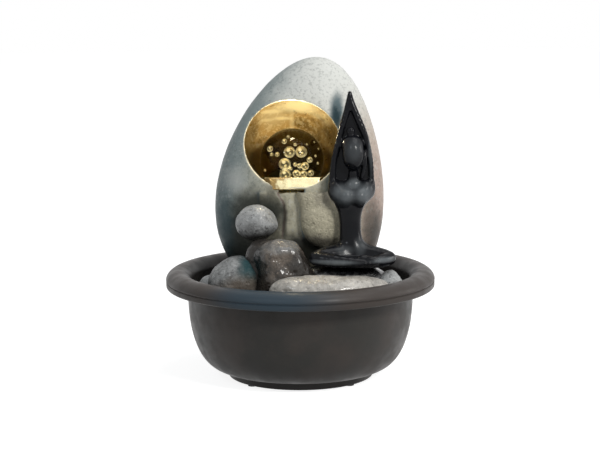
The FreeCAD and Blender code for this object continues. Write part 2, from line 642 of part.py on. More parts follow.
def make_flow_dial():
    """A disc with ports, on a stub whose head holds it in the intake cover's front wall."""
    back = COVER_FRONT_Y - DIAL_GAP
    front = back - DIAL_T
    inner_face = COVER_FRONT_Y + COVER_WALL + DIAL_STUB_GAP
    grip_half_h = PORT_CIRCLE - PORT_R - DIAL_GRIP_HALF_W / 2
    ports = holes_around(PORT_COUNT, PORT_CIRCLE, PORT_R, front - PAST, back + PAST)
    disc = on_axis(DIAL_R, front, back).cut(ports)
    stub = on_axis(DIAL_STUB_R, back - DIAL_T / 4, inner_face + DIAL_HEAD_T / 2)
    head = on_axis(DIAL_HEAD_R, inner_face, inner_face + DIAL_HEAD_T)
    grip = box(BALL_X - DIAL_GRIP_HALF_W, BALL_X + DIAL_GRIP_HALF_W, front - DIAL_GRIP_H, front + DIAL_T / 4,
               AXIS_Z - grip_half_h, AXIS_Z + grip_half_h)
    return disc.fuse([stub, head, grip])


def make_pump_cable_gland():
    x, y, z = BALL_X + GLAND_X, HOUSING_END_Y, AXIS_Z + GLAND_UP
    stub = Part.makeCone(GLAND_R, GLAND_TIP_R, GLAND_LENGTH, Vector(x, y, z), AXIS_Y)
    return stub.cut(along_y(x, z, GLAND_BORE, y + GLAND_FLOOR, y + GLAND_LENGTH + PAST))


# ---------------------------------------------------------------- tray, hose, nozzle and lamp
def make_rock_tray():
    tray = upright(0, 0, TRAY_R, TRAY_Z, TRAY_TOP)
    low, high = TRAY_Z - PAST, TRAY_TOP + PAST
    tray = tray.cut(upright(BALL_X, BALL_Y, HOSE_R + HOSE_HOLE_GAP, low, high))
    tray = tray.cut(box(-TRAY_NOTCH_WIDTH / 2, TRAY_NOTCH_WIDTH / 2, TRAY_R - TRAY_NOTCH_DEPTH, TRAY_R + PAST,
                        low, high))
    circle = TRAY_R - DRAIN_INSET
    drains = []
    for i in range(DRAIN_COUNT):
        a = math.radians(360 / DRAIN_COUNT * (i + 0.5))
        drains.append(upright(circle * math.cos(a), circle * math.sin(a), DRAIN_R, low, high))
    return tray.cut(drains)


def make_supply_hose():
    return ring(BALL_X, BALL_Y, HOSE_R, HOSE_BORE, HOSE_BOTTOM, FLANGE_Z - HOSE_END_GAP)


def make_water_nozzle():
    low, top = FLANGE_Z - NOZZLE_TAIL, BALL_Z - BALL_R - NOZZLE_TO_BALL
    body = upright(BALL_X, BALL_Y, NIPPLE_R, low, top)
    flange = upright(BALL_X, BALL_Y, FLANGE_R, FLANGE_Z, FLANGE_Z + FLANGE_H)
    return body.fuse(flange).cut(upright(BALL_X, BALL_Y, NIPPLE_BORE, low - PAST, top + PAST))


def make_nozzle_gasket():
    low = FLANGE_Z + FLANGE_H
    return ring(BALL_X, BALL_Y, FLANGE_R, NIPPLE_R + PRESS, low, low + GASKET_H)


def make_nozzle_nut():
    """A hexagon nut on the nozzle's thread, on the well's floor."""
    angles = [math.radians(60 * i) for i in range(7)]
    corners = [(BALL_X + NUT_R * math.cos(a), BALL_Y + NUT_R * math.sin(a)) for a in angles]
    flats = Part.makePolygon([Vector(x, y, POCKET_FLOOR_Z) for x, y in corners])
    nut = Part.Face(flats).extrude(Vector(0, 0, NUT_H))
    bore = upright(BALL_X, BALL_Y, NIPPLE_R + PRESS, POCKET_FLOOR_Z - PAST, POCKET_FLOOR_Z + NUT_H + PAST)
    return nut.cut(bore)


def lamp_radii():
    """Outer and inner radius of the lamp ring."""
    return POCKET_R - LAMP_GAP, NUT_R + LAMP_BORE_GAP


def make_lamp_housing():
    outer, inner = lamp_radii()
    body = ring(BALL_X, BALL_Y, outer, inner, POCKET_FLOOR_Z, LAMP_TOP - LENS_H)
    channel = ring(BALL_X, BALL_Y, outer - LAMP_SKIN, inner + LAMP_SKIN, POCKET_FLOOR_Z + LAMP_SKIN, LAMP_TOP)
    return body.cut(channel)


def make_lamp_board():
    outer, inner = lamp_radii()
    low = POCKET_FLOOR_Z + LAMP_SKIN
    inset = LAMP_SKIN + BOARD_GAP
    return ring(BALL_X, BALL_Y, outer - inset, inner + inset, low, low + BOARD_T)


def make_lamps():
    outer, inner = lamp_radii()
    low = POCKET_FLOOR_Z + LAMP_SKIN + BOARD_T
    circle = (outer + inner) / 2
    angles = [math.radians(360 / LAMP_COUNT * i) for i in range(LAMP_COUNT)]
    return Part.Compound([upright(BALL_X + circle * math.cos(a), BALL_Y + circle * math.sin(a), LAMP_R,
                                  low, low + LAMP_H) for a in angles])


def make_lamp_lens():
    outer, inner = lamp_radii()
    return ring(BALL_X, BALL_Y, outer, inner, LAMP_TOP - LENS_H, LAMP_TOP)


def make_ball_seat():
    outer, _ = lamp_radii()
    seat = ring(BALL_X, BALL_Y, outer, outer - SEAT_WIDTH, LAMP_TOP, LAMP_TOP + SEAT_H)
    return seat.cut(Part.makeSphere(BALL_R + BALL_GAP, Vector(BALL_X, BALL_Y, BALL_Z)))


def lamp_cable_place():
    return BALL_X + FLANGE_R + LEAD_OUT, BALL_Y


def make_lamp_cable_gland():
    under = POCKET_FLOOR_Z - POCKET_FLOOR
    plug = upright(*lamp_cable_place(), LEAD_PLUG_R, under - LEAD_PLUG_H, under)
    stem = upright(*lamp_cable_place(), LEAD_R, under - LEAD_PLUG_H, POCKET_FLOOR_Z - PRESS)
    return plug.fuse(stem)


def make_glass_ball():
    return Part.makeSphere(BALL_R, Vector(BALL_X, BALL_Y, BALL_Z))


# ---------------------------------------------------------------- egg-shaped stone and niche
def egg(grow=0.0, low_z=TRAY_TOP):
    """The egg as a filled solid cut off level at a height, grown or shrunk evenly by a distance."""
    half_h = EGG_HALF_H + grow
    start = math.asin((low_z - EGG_MID_Z) / half_h)
    rings = []
    for i in range(EGG_RINGS):
        angle = start + (math.pi / 2 - start) * i / EGG_RINGS
        rise, round_off = math.sin(angle), math.cos(angle)
        share = round_off * (1 - EGG_TAPER * rise + EGG_FULLNESS * rise * rise)
        centre_x = EGG_X + EGG_LEAN * half_h * rise + EGG_BOW * round_off ** 2
        centre = Vector(centre_x, EGG_Y, EGG_MID_Z + half_h * rise)
        rings.append(level_ellipse(centre, (EGG_WIDTH + grow) * share, (EGG_HALF_DEPTH + grow) * share))
    rings.append(Part.Vertex(EGG_X + EGG_LEAN * half_h, EGG_Y, EGG_MID_Z + half_h))
    return Part.makeLoft(rings, True, False)


def niche_form(grow):
    """The niche's cavity: a straight elliptic mouth that runs into a domed back, grown by a distance."""
    half = (NICHE_HALF_W + grow, NICHE_DOME + grow, NICHE_HALF_H + grow)
    mouth = -NICHE_MOUTH / half[1]
    corner = math.sqrt(0.5)
    edges = [Part.Arc(Vector(0, 1, 0), Vector(corner, corner, 0), Vector(1, 0, 0)).toShape(),
             line(Vector(1, 0, 0), Vector(1, mouth, 0)),
             line(Vector(1, mouth, 0), Vector(0, mouth, 0)),
             line(Vector(0, mouth, 0), Vector(0, 1, 0))]
    form = Part.Face(Part.Wire(edges)).revolve(Vector(), AXIS_Y, 360)
    stretch = FreeCAD.Matrix()
    stretch.scale(*half)
    stretched = form.transformGeometry(stretch)
    stretched.translate(Vector(NICHE_X, NICHE_Y, NICHE_Z))
    return stretched


def well_form(grow):
    """The round well under the ball."""
    return upright(BALL_X, BALL_Y, POCKET_R + grow, POCKET_FLOOR_Z - max(grow, 0), NICHE_Z - NICHE_HALF_H / 2)


def channel_form():
    """The funnel-shaped channel below the lip, down the egg's front."""
    deepest_y = EGG_Y - EGG_HALF_DEPTH + CHANNEL_DEPTH
    rings = []
    for radius, drop in CHANNEL:
        centre = Vector(BALL_X, deepest_y - radius, LIP_FOOT_Z - drop)
        rings.append(Part.Wire(Part.makeCircle(radius, centre)))
    return Part.makeLoft(rings, True, False)


def cover_plug(radius):
    return along_y(0, COVER_Z, radius, EGG_Y + EGG_WALL, EGG_Y + 2 * EGG_HALF_DEPTH)


def make_egg_shell():
    shell = egg().cut(egg(-EGG_WALL, TRAY_TOP - PAST))
    shell = shell.cut(niche_form(NICHE_WALL + GLUE_GAP))
    shell = shell.cut(well_form(NICHE_WALL + GLUE_GAP))
    shell = shell.cut(channel_form())
    hose_hole_r = HOSE_R + HOSE_HOLE_GAP
    shell = shell.cut(upright(BALL_X, BALL_Y, hose_hole_r, TRAY_TOP - PAST, TRAY_TOP + 2 * EGG_WALL))
    return shell.cut(cover_plug(COVER_R))


def make_rear_cover():
    shell = egg().cut(egg(-EGG_WALL, TRAY_TOP - PAST)).common(cover_plug(COVER_R - COVER_GAP))
    back_y = EGG_Y + EGG_HALF_DEPTH
    grip = box(-GRIP_HALF_W, GRIP_HALF_W, back_y - EGG_WALL / 2, back_y + GRIP_OUT,
               COVER_Z - GRIP_HALF_H, COVER_Z + GRIP_HALF_H)
    return shell.fuse(grip).removeSplitter()


def lip_form():
    """The lip as a bar across the niche: level crest, upright back, and a slope down to the egg's front."""
    low = POCKET_FLOOR_Z
    run = LIP_FOOT_Y - LIP_Y
    far = Vector(0, LIP_FOOT_Y + run, 2 * LIP_FOOT_Z - LIP_Z)
    crest_y = LIP_Y + LIP_CREST
    outline = [Vector(0, crest_y, low), Vector(0, crest_y, LIP_Z), Vector(0, LIP_Y, LIP_Z),
               far, Vector(0, far.y, low), Vector(0, crest_y, low)]
    half = NICHE_HALF_W + NICHE_FLANK
    bar = Part.Face(Part.makePolygon(outline)).extrude(Vector(2 * half, 0, 0))
    bar.translate(Vector(NICHE_X - half, 0, 0))
    return bar


def make_gilt_niche():
    shape = niche_form(NICHE_WALL).fuse(well_form(NICHE_WALL))
    shape = shape.cut(niche_form(0.0).cut(lip_form()))
    shape = shape.cut(well_form(0.0))
    shape = shape.common(egg())
    shape = shape.cut(Part.makeSphere(BALL_R + BALL_CLEARANCE, Vector(BALL_X, BALL_Y, BALL_Z)))
    low, high = POCKET_FLOOR_Z - POCKET_FLOOR - PAST, POCKET_FLOOR_Z + PAST
    shape = shape.cut(upright(BALL_X, BALL_Y, NIPPLE_R + PRESS, low, high))
    shape = shape.cut(upright(*lamp_cable_place(), LEAD_R + PRESS, low, high))
    return max(shape.Solids, key=lambda s: s.Volume)


# ---------------------------------------------------------------- stones and figure
NEIGHBOURS = [           # stones that meet in a flat joint
    ("middle_boulder", "leaning_boulder"), ("middle_boulder", "shaded_boulder"),
    ("middle_boulder", "round_stone"), ("middle_boulder", "left_stone"),
    ("middle_boulder", "figure_plinth"), ("middle_boulder", "front_slab"),
    ("shaded_boulder", "round_stone"), ("shaded_boulder", "left_stone"),
    ("round_stone", "left_stone"), ("left_stone", "edge_stone"),
    ("figure_plinth", "leaning_boulder"), ("figure_plinth", "front_slab"),
    ("figure_plinth", "right_slab"), ("front_slab", "right_slab"),
]


def stone_centre(name):
    return Vector(*STONES[name]["at"]) + Vector(0, 0, TRAY_TOP)


def stone(name, grow=0.0, low_z=TRAY_TOP):
    """A stone as a filled egg-round form, cut off level at a height, grown by a distance."""
    spec = STONES[name]
    x, y, z = stone_centre(name)
    half_x, half_y, half_z = [size + grow for size in spec["half"]]
    start = math.asin(max(-STONE_CUT, (low_z - z) / half_z))
    lean = math.tan(math.radians(spec["lean"])) * half_z
    rings = []
    for i in range(STONE_RINGS):
        angle = start + (math.pi / 2 - start) * i / STONE_RINGS
        rise, round_off = math.sin(angle), math.cos(angle)
        centre = Vector(x + lean * rise, y, z + half_z * rise)
        rings.append(level_ellipse(centre, half_x * round_off, half_y * round_off, spec["turn"]))
    rings.append(Part.Vertex(x + lean, y, z + half_z))
    return Part.makeLoft(rings, True, False)


def reach(name, direction):
    """How far a stone reaches from its centre in a direction."""
    spec = STONES[name]
    turned = FreeCAD.Rotation(AXIS_UP, -spec["turn"]).multVec(direction)
    return math.hypot(*(size * part for size, part in zip(spec["half"], turned)))


def beyond_joint(name, other):
    """The space past the flat joint between two stones, from half a glue line back."""
    start, end = stone_centre(name), stone_centre(other)
    direction = (end - start).normalize()
    share = reach(name, direction) / (reach(name, direction) + reach(other, direction))
    face = start + (end - start) * share - direction * (GLUE_GAP / 2)
    size = 4 * RIM_R
    up = 1 if direction.z >= 0 else -1
    space = Part.makeBox(size, size, size, Vector(-size / 2, -size / 2, 0 if up > 0 else -size))
    space.Placement = FreeCAD.Placement(face, FreeCAD.Rotation(Vector(0, 0, up), direction))
    return space


def make_stone(name):
    """A stone that stands on the tray, cut off at the egg and at its flat joints with its neighbours."""
    shape = stone(name)
    for pair in NEIGHBOURS:
        if name in pair:
            shape = shape.cut(beyond_joint(name, pair[1] if pair[0] == name else pair[0]))
    shape = shape.cut(egg(GLUE_GAP, TRAY_TOP - PAST))
    return max(shape.Solids, key=lambda s: s.Volume)


def dowel(radius):
    x, y, z = figure_point((0.0, 0.0, DOWEL_UP))
    return upright(x, y, radius, z - DOWEL_LENGTH / 2, z + DOWEL_LENGTH / 2)


def make_seated_figure():
    rings = []
    for height, half_w, half_d, dx, dy in TORSO:
        x, y, z = figure_point((dx, dy, height))
        rings.append(level_ellipse(Vector(x, y, z), half_w * FIGURE_SCALE, half_d * FIGURE_SCALE))
    pieces = [limb([(figure_point(p), r * FIGURE_SCALE) for p, r in limb_stations])
              for limb_stations in ARMS + THIGHS + SHINS + [list(NECK)]]
    for at, half in [HEAD, BUN] + FEET:
        pieces.append(ellipsoid(figure_point(at), [h * FIGURE_SCALE for h in half]))
    body = Part.makeLoft(rings, True, False).fuse(pieces)
    body = body.cut([egg(GLUE_GAP), stone("figure_plinth", GLUE_GAP), stone("leaning_boulder", GLUE_GAP),
                     stone("middle_boulder", GLUE_GAP), dowel(DOWEL_R + SLIP)])
    return max(body.Solids, key=lambda s: s.Volume)


# ---------------------------------------------------------------- every node
def make_nodes():
    nodes = {
        "bowl": make_bowl(), "bowl_rim": make_bowl_rim(), "foot_pads": make_foot_pads(),
        "cable_grommet": make_cable_grommet(), "suction_cups": make_suction_cups(),
        "pump_housing": make_pump_housing(), "stator_core": make_stator_core(),
        "stator_coil": make_stator_coil(), "pump_potting": make_pump_potting(),
        "volute_cover": make_volute_cover(), "shaft_bushes": make_shaft_bushes(),
        "impeller_shaft": make_impeller_shaft(), "rotor_magnet": make_rotor_magnet(),
        "impeller_wheel": make_impeller_wheel(), "intake_cover": make_intake_cover(),
        "intake_filter": make_intake_filter(), "flow_dial": make_flow_dial(),
        "pump_cable_gland": make_pump_cable_gland(), "rock_tray": make_rock_tray(),
        "supply_hose": make_supply_hose(), "water_nozzle": make_water_nozzle(),
        "nozzle_gasket": make_nozzle_gasket(), "nozzle_nut": make_nozzle_nut(),
        "lamp_housing": make_lamp_housing(), "lamp_board": make_lamp_board(), "lamps": make_lamps(),
        "lamp_lens": make_lamp_lens(), "ball_seat": make_ball_seat(),
        "lamp_cable_gland": make_lamp_cable_gland(), "glass_ball": make_glass_ball(),
        "egg_shell": make_egg_shell(), "rear_cover": make_rear_cover(), "gilt_niche": make_gilt_niche(),
        "seated_figure": make_seated_figure(), "figure_dowel": dowel(DOWEL_R),
    }
    nodes.update({name: make_stone(name) for name in STONES})
    nodes["figure_plinth"] = nodes["figure_plinth"].cut(dowel(DOWEL_R + SLIP))
    return nodes


def main():
    os.makedirs("parts", exist_ok=True)
    for name, shape in make_nodes().items():
        shape.exportStep(os.path.join("parts", name + ".step"))
        low, high = shape.BoundBox.ZMin, shape.BoundBox.ZMax
        print(f"{name:18s} solids {len(shape.Solids):2d} valid {shape.isValid()} z {low:7.2f} to {high:7.2f}")


main()
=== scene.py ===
import math

import bpy
import numpy as np
from bpy.props import FloatProperty, FloatVectorProperty, PointerProperty
from mathutils import Matrix, Quaternion, Vector


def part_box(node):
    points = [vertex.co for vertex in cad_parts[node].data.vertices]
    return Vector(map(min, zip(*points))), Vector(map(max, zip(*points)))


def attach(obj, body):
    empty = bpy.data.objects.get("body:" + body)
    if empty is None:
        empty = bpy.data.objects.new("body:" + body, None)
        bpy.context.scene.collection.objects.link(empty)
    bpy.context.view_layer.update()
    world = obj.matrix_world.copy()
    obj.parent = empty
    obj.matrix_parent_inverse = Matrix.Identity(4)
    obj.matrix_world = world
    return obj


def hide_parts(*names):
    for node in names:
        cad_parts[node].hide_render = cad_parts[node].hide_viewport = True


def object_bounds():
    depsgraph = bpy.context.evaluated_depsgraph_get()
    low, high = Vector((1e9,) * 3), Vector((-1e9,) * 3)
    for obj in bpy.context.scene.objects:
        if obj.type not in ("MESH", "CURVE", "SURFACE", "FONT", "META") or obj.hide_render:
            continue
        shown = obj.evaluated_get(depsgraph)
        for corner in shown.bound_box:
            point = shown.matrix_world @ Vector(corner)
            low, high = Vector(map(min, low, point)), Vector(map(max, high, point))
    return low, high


bl_info = {
    "name": "Tabletop Water Fountain",
    "version": (1, 0, 0),
    "blender": (4, 5, 0),
    "location": "3D View > Sidebar > Fountain",
    "description": "Builds a tabletop water fountain around its engineering frame",
    "category": "Object",
}

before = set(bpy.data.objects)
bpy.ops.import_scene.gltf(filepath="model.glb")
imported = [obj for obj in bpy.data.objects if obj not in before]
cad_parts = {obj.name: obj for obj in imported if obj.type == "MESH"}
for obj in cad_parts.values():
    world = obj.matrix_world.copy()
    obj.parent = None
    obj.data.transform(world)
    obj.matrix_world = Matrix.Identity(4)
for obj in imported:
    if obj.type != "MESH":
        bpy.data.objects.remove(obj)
CAD_BOX = [list(corner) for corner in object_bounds()]
MM = 0.001
CORNERS = np.array([(i, j, k) for i in (0, 1) for j in (0, 1) for k in (0, 1)])


def srgb(code):
    """A colour written as six hexadecimal digits, as linear red, green and blue."""
    parts = [int(code[i:i + 2], 16) / 255 for i in (0, 2, 4)]
    return tuple(p / 12.92 if p <= 0.04045 else ((p + 0.055) / 1.055) ** 2.4 for p in parts)


def toned(colour, factor):
    """A lighter or darker colour."""
    return [min(1.0, c * factor) for c in colour]


def cad_box(node):
    """A node's low and high corners in millimetres."""
    low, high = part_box(node)
    return np.array(low) / MM, np.array(high) / MM


# ------------------------------------------------------------------ places that everything is worked out from, in mm
TRAY_TOP = cad_box("rock_tray")[1][2]
EGG_LOW, EGG_HIGH = cad_box("egg_shell")
BALL_LOW, BALL_HIGH = cad_box("glass_ball")
BALL_CENTRE = (BALL_LOW + BALL_HIGH) / 2
BALL_RADIUS = (BALL_HIGH[0] - BALL_LOW[0]) / 2
LIP_CREST = (-8.4, TRAY_TOP + 93.4)      # y and z of the lip's front edge
LIP_FOOT = (-13.5, TRAY_TOP + 83.6)      # y and z where its slope ends
MOUTH_EDGE = (-5.8, 182.4, 36.7, 33.4)   # the stone's edge round the niche: centre x and z, half width and height
CHANNEL_FACE = -12.6                     # the egg's front where the channel is
CHANNEL_LEFT = ((98.0, 117.0, 129.0, 137.0, 143.0, 150.0), (-15.0, -13.0, -11.6, -12.4, -15.5, -22.0))
CHANNEL_RIGHT = ((98.0, 117.0, 129.0, 150.0), (4.0, 2.0, 1.0, 4.0))
CHANNEL_DEPTH = ((98.0, 112.0, 140.0, 149.0), (0.5, 3.0, 3.2, 2.2))
EGG_MIDDLE_X, EGG_LEAN, EGG_BOW = 7.7, 0.058, 7.3
EGG_TAPER = (0.212, 0.026)               # share of the width lost towards the top, and given back at the ends
NICHE_HALF_HEIGHT = 36.5
NICHE_WALL = 2.5
NICHE_BED = 2.7                          # how far the stone stands back from the niche: its wall and a glue line
WELL_RADIUS = 18.0
FOOT_RADIUS = 57.0                       # outside of the bowl's foot ring
SEAT = (cad_box("figure_dowel")[0] + cad_box("figure_dowel")[1]) / 2 - (0, 0, 4)


# ------------------------------------------------------------------ what a user would change
def length(name, default, description):
    return FloatProperty(name=name, description=description, default=default, min=0.0, unit="LENGTH", precision=4)


def tint(name, default, description):
    return FloatVectorProperty(name=name, description=description, default=srgb(default), subtype="COLOR",
                               size=3, min=0.0, max=1.0)


class BowlSettings(bpy.types.PropertyGroup):
    """Sizes and colours of the bowl."""
    wall: length("Wall", 0.003, "Thickness of the bowl's wall")
    foot_width: length("Foot ring width", 0.009, "Radial width of the foot ring")
    foot_height: length("Foot ring height", 0.0064, "Height of the foot ring over the foam pads")
    groove: length("Rim groove", 0.0006, "Depth of the fine groove round the rim's skirt")
    rib_width: length("Rib width", 0.008, "Width of the ribs that carry the scene")
    rib_reach: length("Rib reach", 0.017, "How far the ribs stand in from the neck")
    slot_width: length("Cable slot", 0.009, "Width of the slot through the rim at the back")
    colour: tint("Body", "2b2a28", "Colour of the bowl's plastic")
    # The cool sheen is the colour of a painted bluish highlight on the rim's front.
    cool: tint("Cool sheen", "2b3740", "Bluish tone on the rim")
    warm: tint("Warm sheen", "37322f", "Brownish tone on the rim and the belly")


class EggSettings(bpy.types.PropertyGroup):
    """Sizes and colours of the egg-shaped stone."""
    wall: length("Wall", 0.006, "Thickness of the cast shell")
    half_width: length("Half width", 0.0652, "Half the egg's width, before its taper")
    half_depth: length("Half depth", 0.038, "Half the egg's depth, front to back")
    half_height: length("Half height", 0.0964, "Half the height of the whole egg")
    edge_round: length("Edge rounding", 0.0012, "Rounding of the niche's edge")
    light: tint("Light stone", "c3c5c1", "Colour at the top")
    # The cool stone colour is also laid as painted shade on the left side and at the upper left.
    cool: tint("Cool stone", "7f8a8a", "Colour along the left side")
    olive: tint("Olive stone", "b0ac98", "Colour of the lower front")
    # The warm right-side colour is a tint laid as painted shade.
    blush_and_shade: tint("Blush stone and shade", "a6958b", "Colour along the right side")
    # The three wash colours are partly stain and partly painted shade, in the crease, at the foot and beside the
    # stones and the figure.
    black_wash: tint("Black wash and shade", "0c0e0b", "Colour of the wet foot of the stone")
    dark_wash: tint("Dark wash and shade", "171b15", "Dark green wash in the hollows")
    teal_wash_and_shade: tint("Teal wash and shade", "24424a", "Teal wash and shade beside the stones and the figure")
    # The pale edge colour is partly the paint's edge and partly a painted highlight round the niche's mouth.
    cream_and_highlight: tint("Cream edge and highlight", "d9d3b8", "Thin line round the niche")


class NicheSettings(bpy.types.PropertyGroup):
    """Sizes and colours of the gilded niche."""
    wall: length("Wall", 0.0025, "Thickness of the niche's shell")
    depth: length("Dome depth", 0.036, "Depth of the domed back")
    gold: tint("Gold", "b4955c", "Colour of the gilding")
    bronze: tint("Bronze", "80683c", "Darker streaks in the gilding")
    pale: tint("Pale gold", "fdf0c0", "Palest part of the gilding")
    shade: tint("Shaded gold", "33290f", "Gilding under and beside the ball")


class BallSettings(bpy.types.PropertyGroup):
    """Colours of the glass ball."""
    glass: tint("Glass", "a89d6e", "Tint of the glass")
    # The bubble glow colour is that of the bubbles' emission, painted light.
    glow: tint("Bubble glow", "f6ecce", "Colour of the lit bubbles")


class StoneSettings(bpy.types.PropertyGroup):
    """Colours of the stones."""
    grey: tint("Grey stone", "878989", "Colour of the dry grey stones")
    brown: tint("Brown stone", "5d544b", "Brown tone of the wet stones")
    dark: tint("Dark stone", "2f2c29", "Dark tone of the wet stones")
    pale: tint("Pale stone", "bab6ae", "Colour of the pale slabs")
    olive: tint("Olive stone", "aba58f", "Colour of the leaning boulder")
    black: tint("Black stone", "0d0e10", "Colour of the figure's plinth")


class FigureSettings(bpy.types.PropertyGroup):
    """Colours of the seated figure."""
    glaze: tint("Glaze", "0b0c0f", "Colour of the glossy figure")
    # This grey is the colour of the painted highlights on the glaze.
    painted_sheen: tint("Painted sheen", "62676a", "Colour of the glaze where it is thin")


class StageSettings(bpy.types.PropertyGroup):
    """The camera and the light."""
    distance: length("Camera distance", 1.4, "From the camera to the fountain's axis")
    target_height: length("Aim height", 0.1189, "Height that the camera looks at")
    elevation: FloatProperty(name="Elevation", description="How far the camera looks down",
                             default=math.radians(9.16), subtype="ANGLE")
    roll: FloatProperty(name="Roll", description="Tilt of the picture", default=math.radians(-0.36), subtype="ANGLE")
    lens: FloatProperty(name="Lens", description="Focal length in millimetres", default=107.8, min=10.0)
    ambient: FloatProperty(name="Ambient light", description="Light from all around", default=0.3, min=0.0)
    key: FloatProperty(name="Key light", description="Power of the light at the front right", default=18.0, min=0.0)
    fill: FloatProperty(name="Fill light", description="Power of the light at the front left", default=3.4, min=0.0)
    edge: FloatProperty(name="Edge light", description="Power of the light at the far right", default=5.0, min=0.0)
    glow: FloatProperty(name="Niche glow", description="Power of the warm light in the niche", default=0.085, min=0.0)
    top: FloatProperty(name="Top light", description="Power of the overhead light", default=9.5, min=0.0)


class FountainSettings(bpy.types.PropertyGroup):
    """Everything that can be set on the fountain."""
    bowl: PointerProperty(type=BowlSettings)
    egg: PointerProperty(type=EggSettings)
    niche: PointerProperty(type=NicheSettings)
    ball: PointerProperty(type=BallSettings)
    stones: PointerProperty(type=StoneSettings)
    figure: PointerProperty(type=FigureSettings)
    stage: PointerProperty(type=StageSettings)


# ------------------------------------------------------------------ forms as distance fields
class Space:
    """A block of evenly spaced points in millimetres, on which a form's distance field is worked out."""

    def __init__(self, low, high, step):
        self.low, self.step = np.array(low, float), step
        counts = [int(math.ceil((b - a) / step)) + 1 for a, b in zip(low, high)]
        axes = [(self.low[i] + step * np.arange(counts[i])).astype(np.float32) for i in range(3)]
        self.x, self.y, self.z = axes[0][:, None, None], axes[1][None, :, None], axes[2][None, None, :]
        self.shape = tuple(counts)


def union(a, b, blend):
    """Two forms as one, with a fillet of about the blend's size."""
    share = np.clip(0.5 + 0.5 * (b - a) / blend, 0, 1)
    return b + (a - b) * share - blend * share * (1 - share)


def common(a, b, blend):
    """Where both forms are, with a rounded edge."""
    return -union(-a, -b, blend)


def carve(a, b, blend):
    """The first form without the second, with a rounded edge."""
    return common(a, -b, blend)


def ellipsoid(space, centre, half, turn=0.0, lean=0.0):
    """An ellipsoid, leaned to the right about Y and then turned about Z, in degrees."""
    x, y, z = space.x - centre[0], space.y - centre[1], space.z - centre[2]
    t, l = math.radians(turn), math.radians(lean)
    x, y = x * math.cos(t) + y * math.sin(t), y * math.cos(t) - x * math.sin(t)
    x, z = x * math.cos(l) - z * math.sin(l), z * math.cos(l) + x * math.sin(l)
    near = np.sqrt((x / half[0]) ** 2 + (y / half[1]) ** 2 + (z / half[2]) ** 2)
    slope = np.sqrt((x / half[0] ** 2) ** 2 + (y / half[1] ** 2) ** 2 + (z / half[2] ** 2) ** 2)
    return near * (near - 1) / np.maximum(slope, 1e-6)


def rod(space, a, b, radius_a, radius_b):
    """A round bar between two points, with a radius at each."""
    run = np.subtract(b, a)
    x, y, z = space.x - a[0], space.y - a[1], space.z - a[2]
    share = np.clip((x * run[0] + y * run[1] + z * run[2]) / max(run @ run, 1e-9), 0, 1)
    away = np.sqrt((x - share * run[0]) ** 2 + (y - share * run[1]) ** 2 + (z - share * run[2]) ** 2)
    return away - (radius_a + share * (radius_b - radius_a))


def smooth_run(stations, steps=5):
    """More stations on a smooth curve through the given ones."""
    rows = np.array(stations, float)
    rows = np.vstack([2 * rows[0] - rows[1], rows, 2 * rows[-1] - rows[-2]])
    out = []
    for i in range(1, len(rows) - 2):
        a, b, c, d = rows[i - 1:i + 3]
        for t in np.linspace(0, 1, steps, endpoint=False):
            out.append(0.5 * (2 * b + (c - a) * t + (2 * a - 5 * b + 4 * c - d) * t ** 2
                              + (3 * b - a - 3 * c + d) * t ** 3))
    return np.array(out + [rows[-2]])


def limb(space, stations, blend, steps=4):
    """A chain of round bars on a smooth curve through (x, y, z, radius) stations."""
    field = None
    stations = smooth_run(stations, steps)
    for a, b in zip(stations, stations[1:]):
        bar = rod(space, a[:3], b[:3], a[3], b[3])
        field = bar if field is None else union(field, bar, blend)
    return field


def column(space, stations):
    """An upright form with an elliptic section: (z, centre x, centre y, half width, half depth), lowest first."""
    stations = smooth_run(stations)
    heights = stations[:, 0]
    at = [np.interp(space.z.ravel(), heights, stations[:, i])[None, None, :] for i in range(1, 5)]
    near = np.sqrt(((space.x - at[0]) / at[2]) ** 2 + ((space.y - at[1]) / at[3]) ** 2)
    sides = (near - 1) * np.minimum(at[2], at[3])
    return common(sides, np.maximum(heights[0] - space.z, space.z - heights[-1]), 3.0)


def half_space(space, point, normal):
    """Everything behind a plane."""
    n = np.array(normal, float) / np.linalg.norm(normal)
    return (space.x - point[0]) * n[0] + (space.y - point[1]) * n[1] + (space.z - point[2]) * n[2]


def cloud(points, size, seed):
    """Smooth noise from -1 to 1 with lumps of about the given size, the same each time for a seed."""
    table = np.random.default_rng(seed).uniform(-1, 1, 4096)
    scaled = points / size
    cell = np.floor(scaled).astype(np.int64)
    part = scaled - cell
    part = part * part * (3 - 2 * part)
    total = np.zeros(len(points))
    for corner in CORNERS:
        at = cell + corner
        key = (at[:, 0] * 73856093 ^ at[:, 1] * 19349663 ^ at[:, 2] * 83492791) & 4095
        total += table[key] * np.prod(np.where(corner, part, 1 - part), axis=1)
    return total


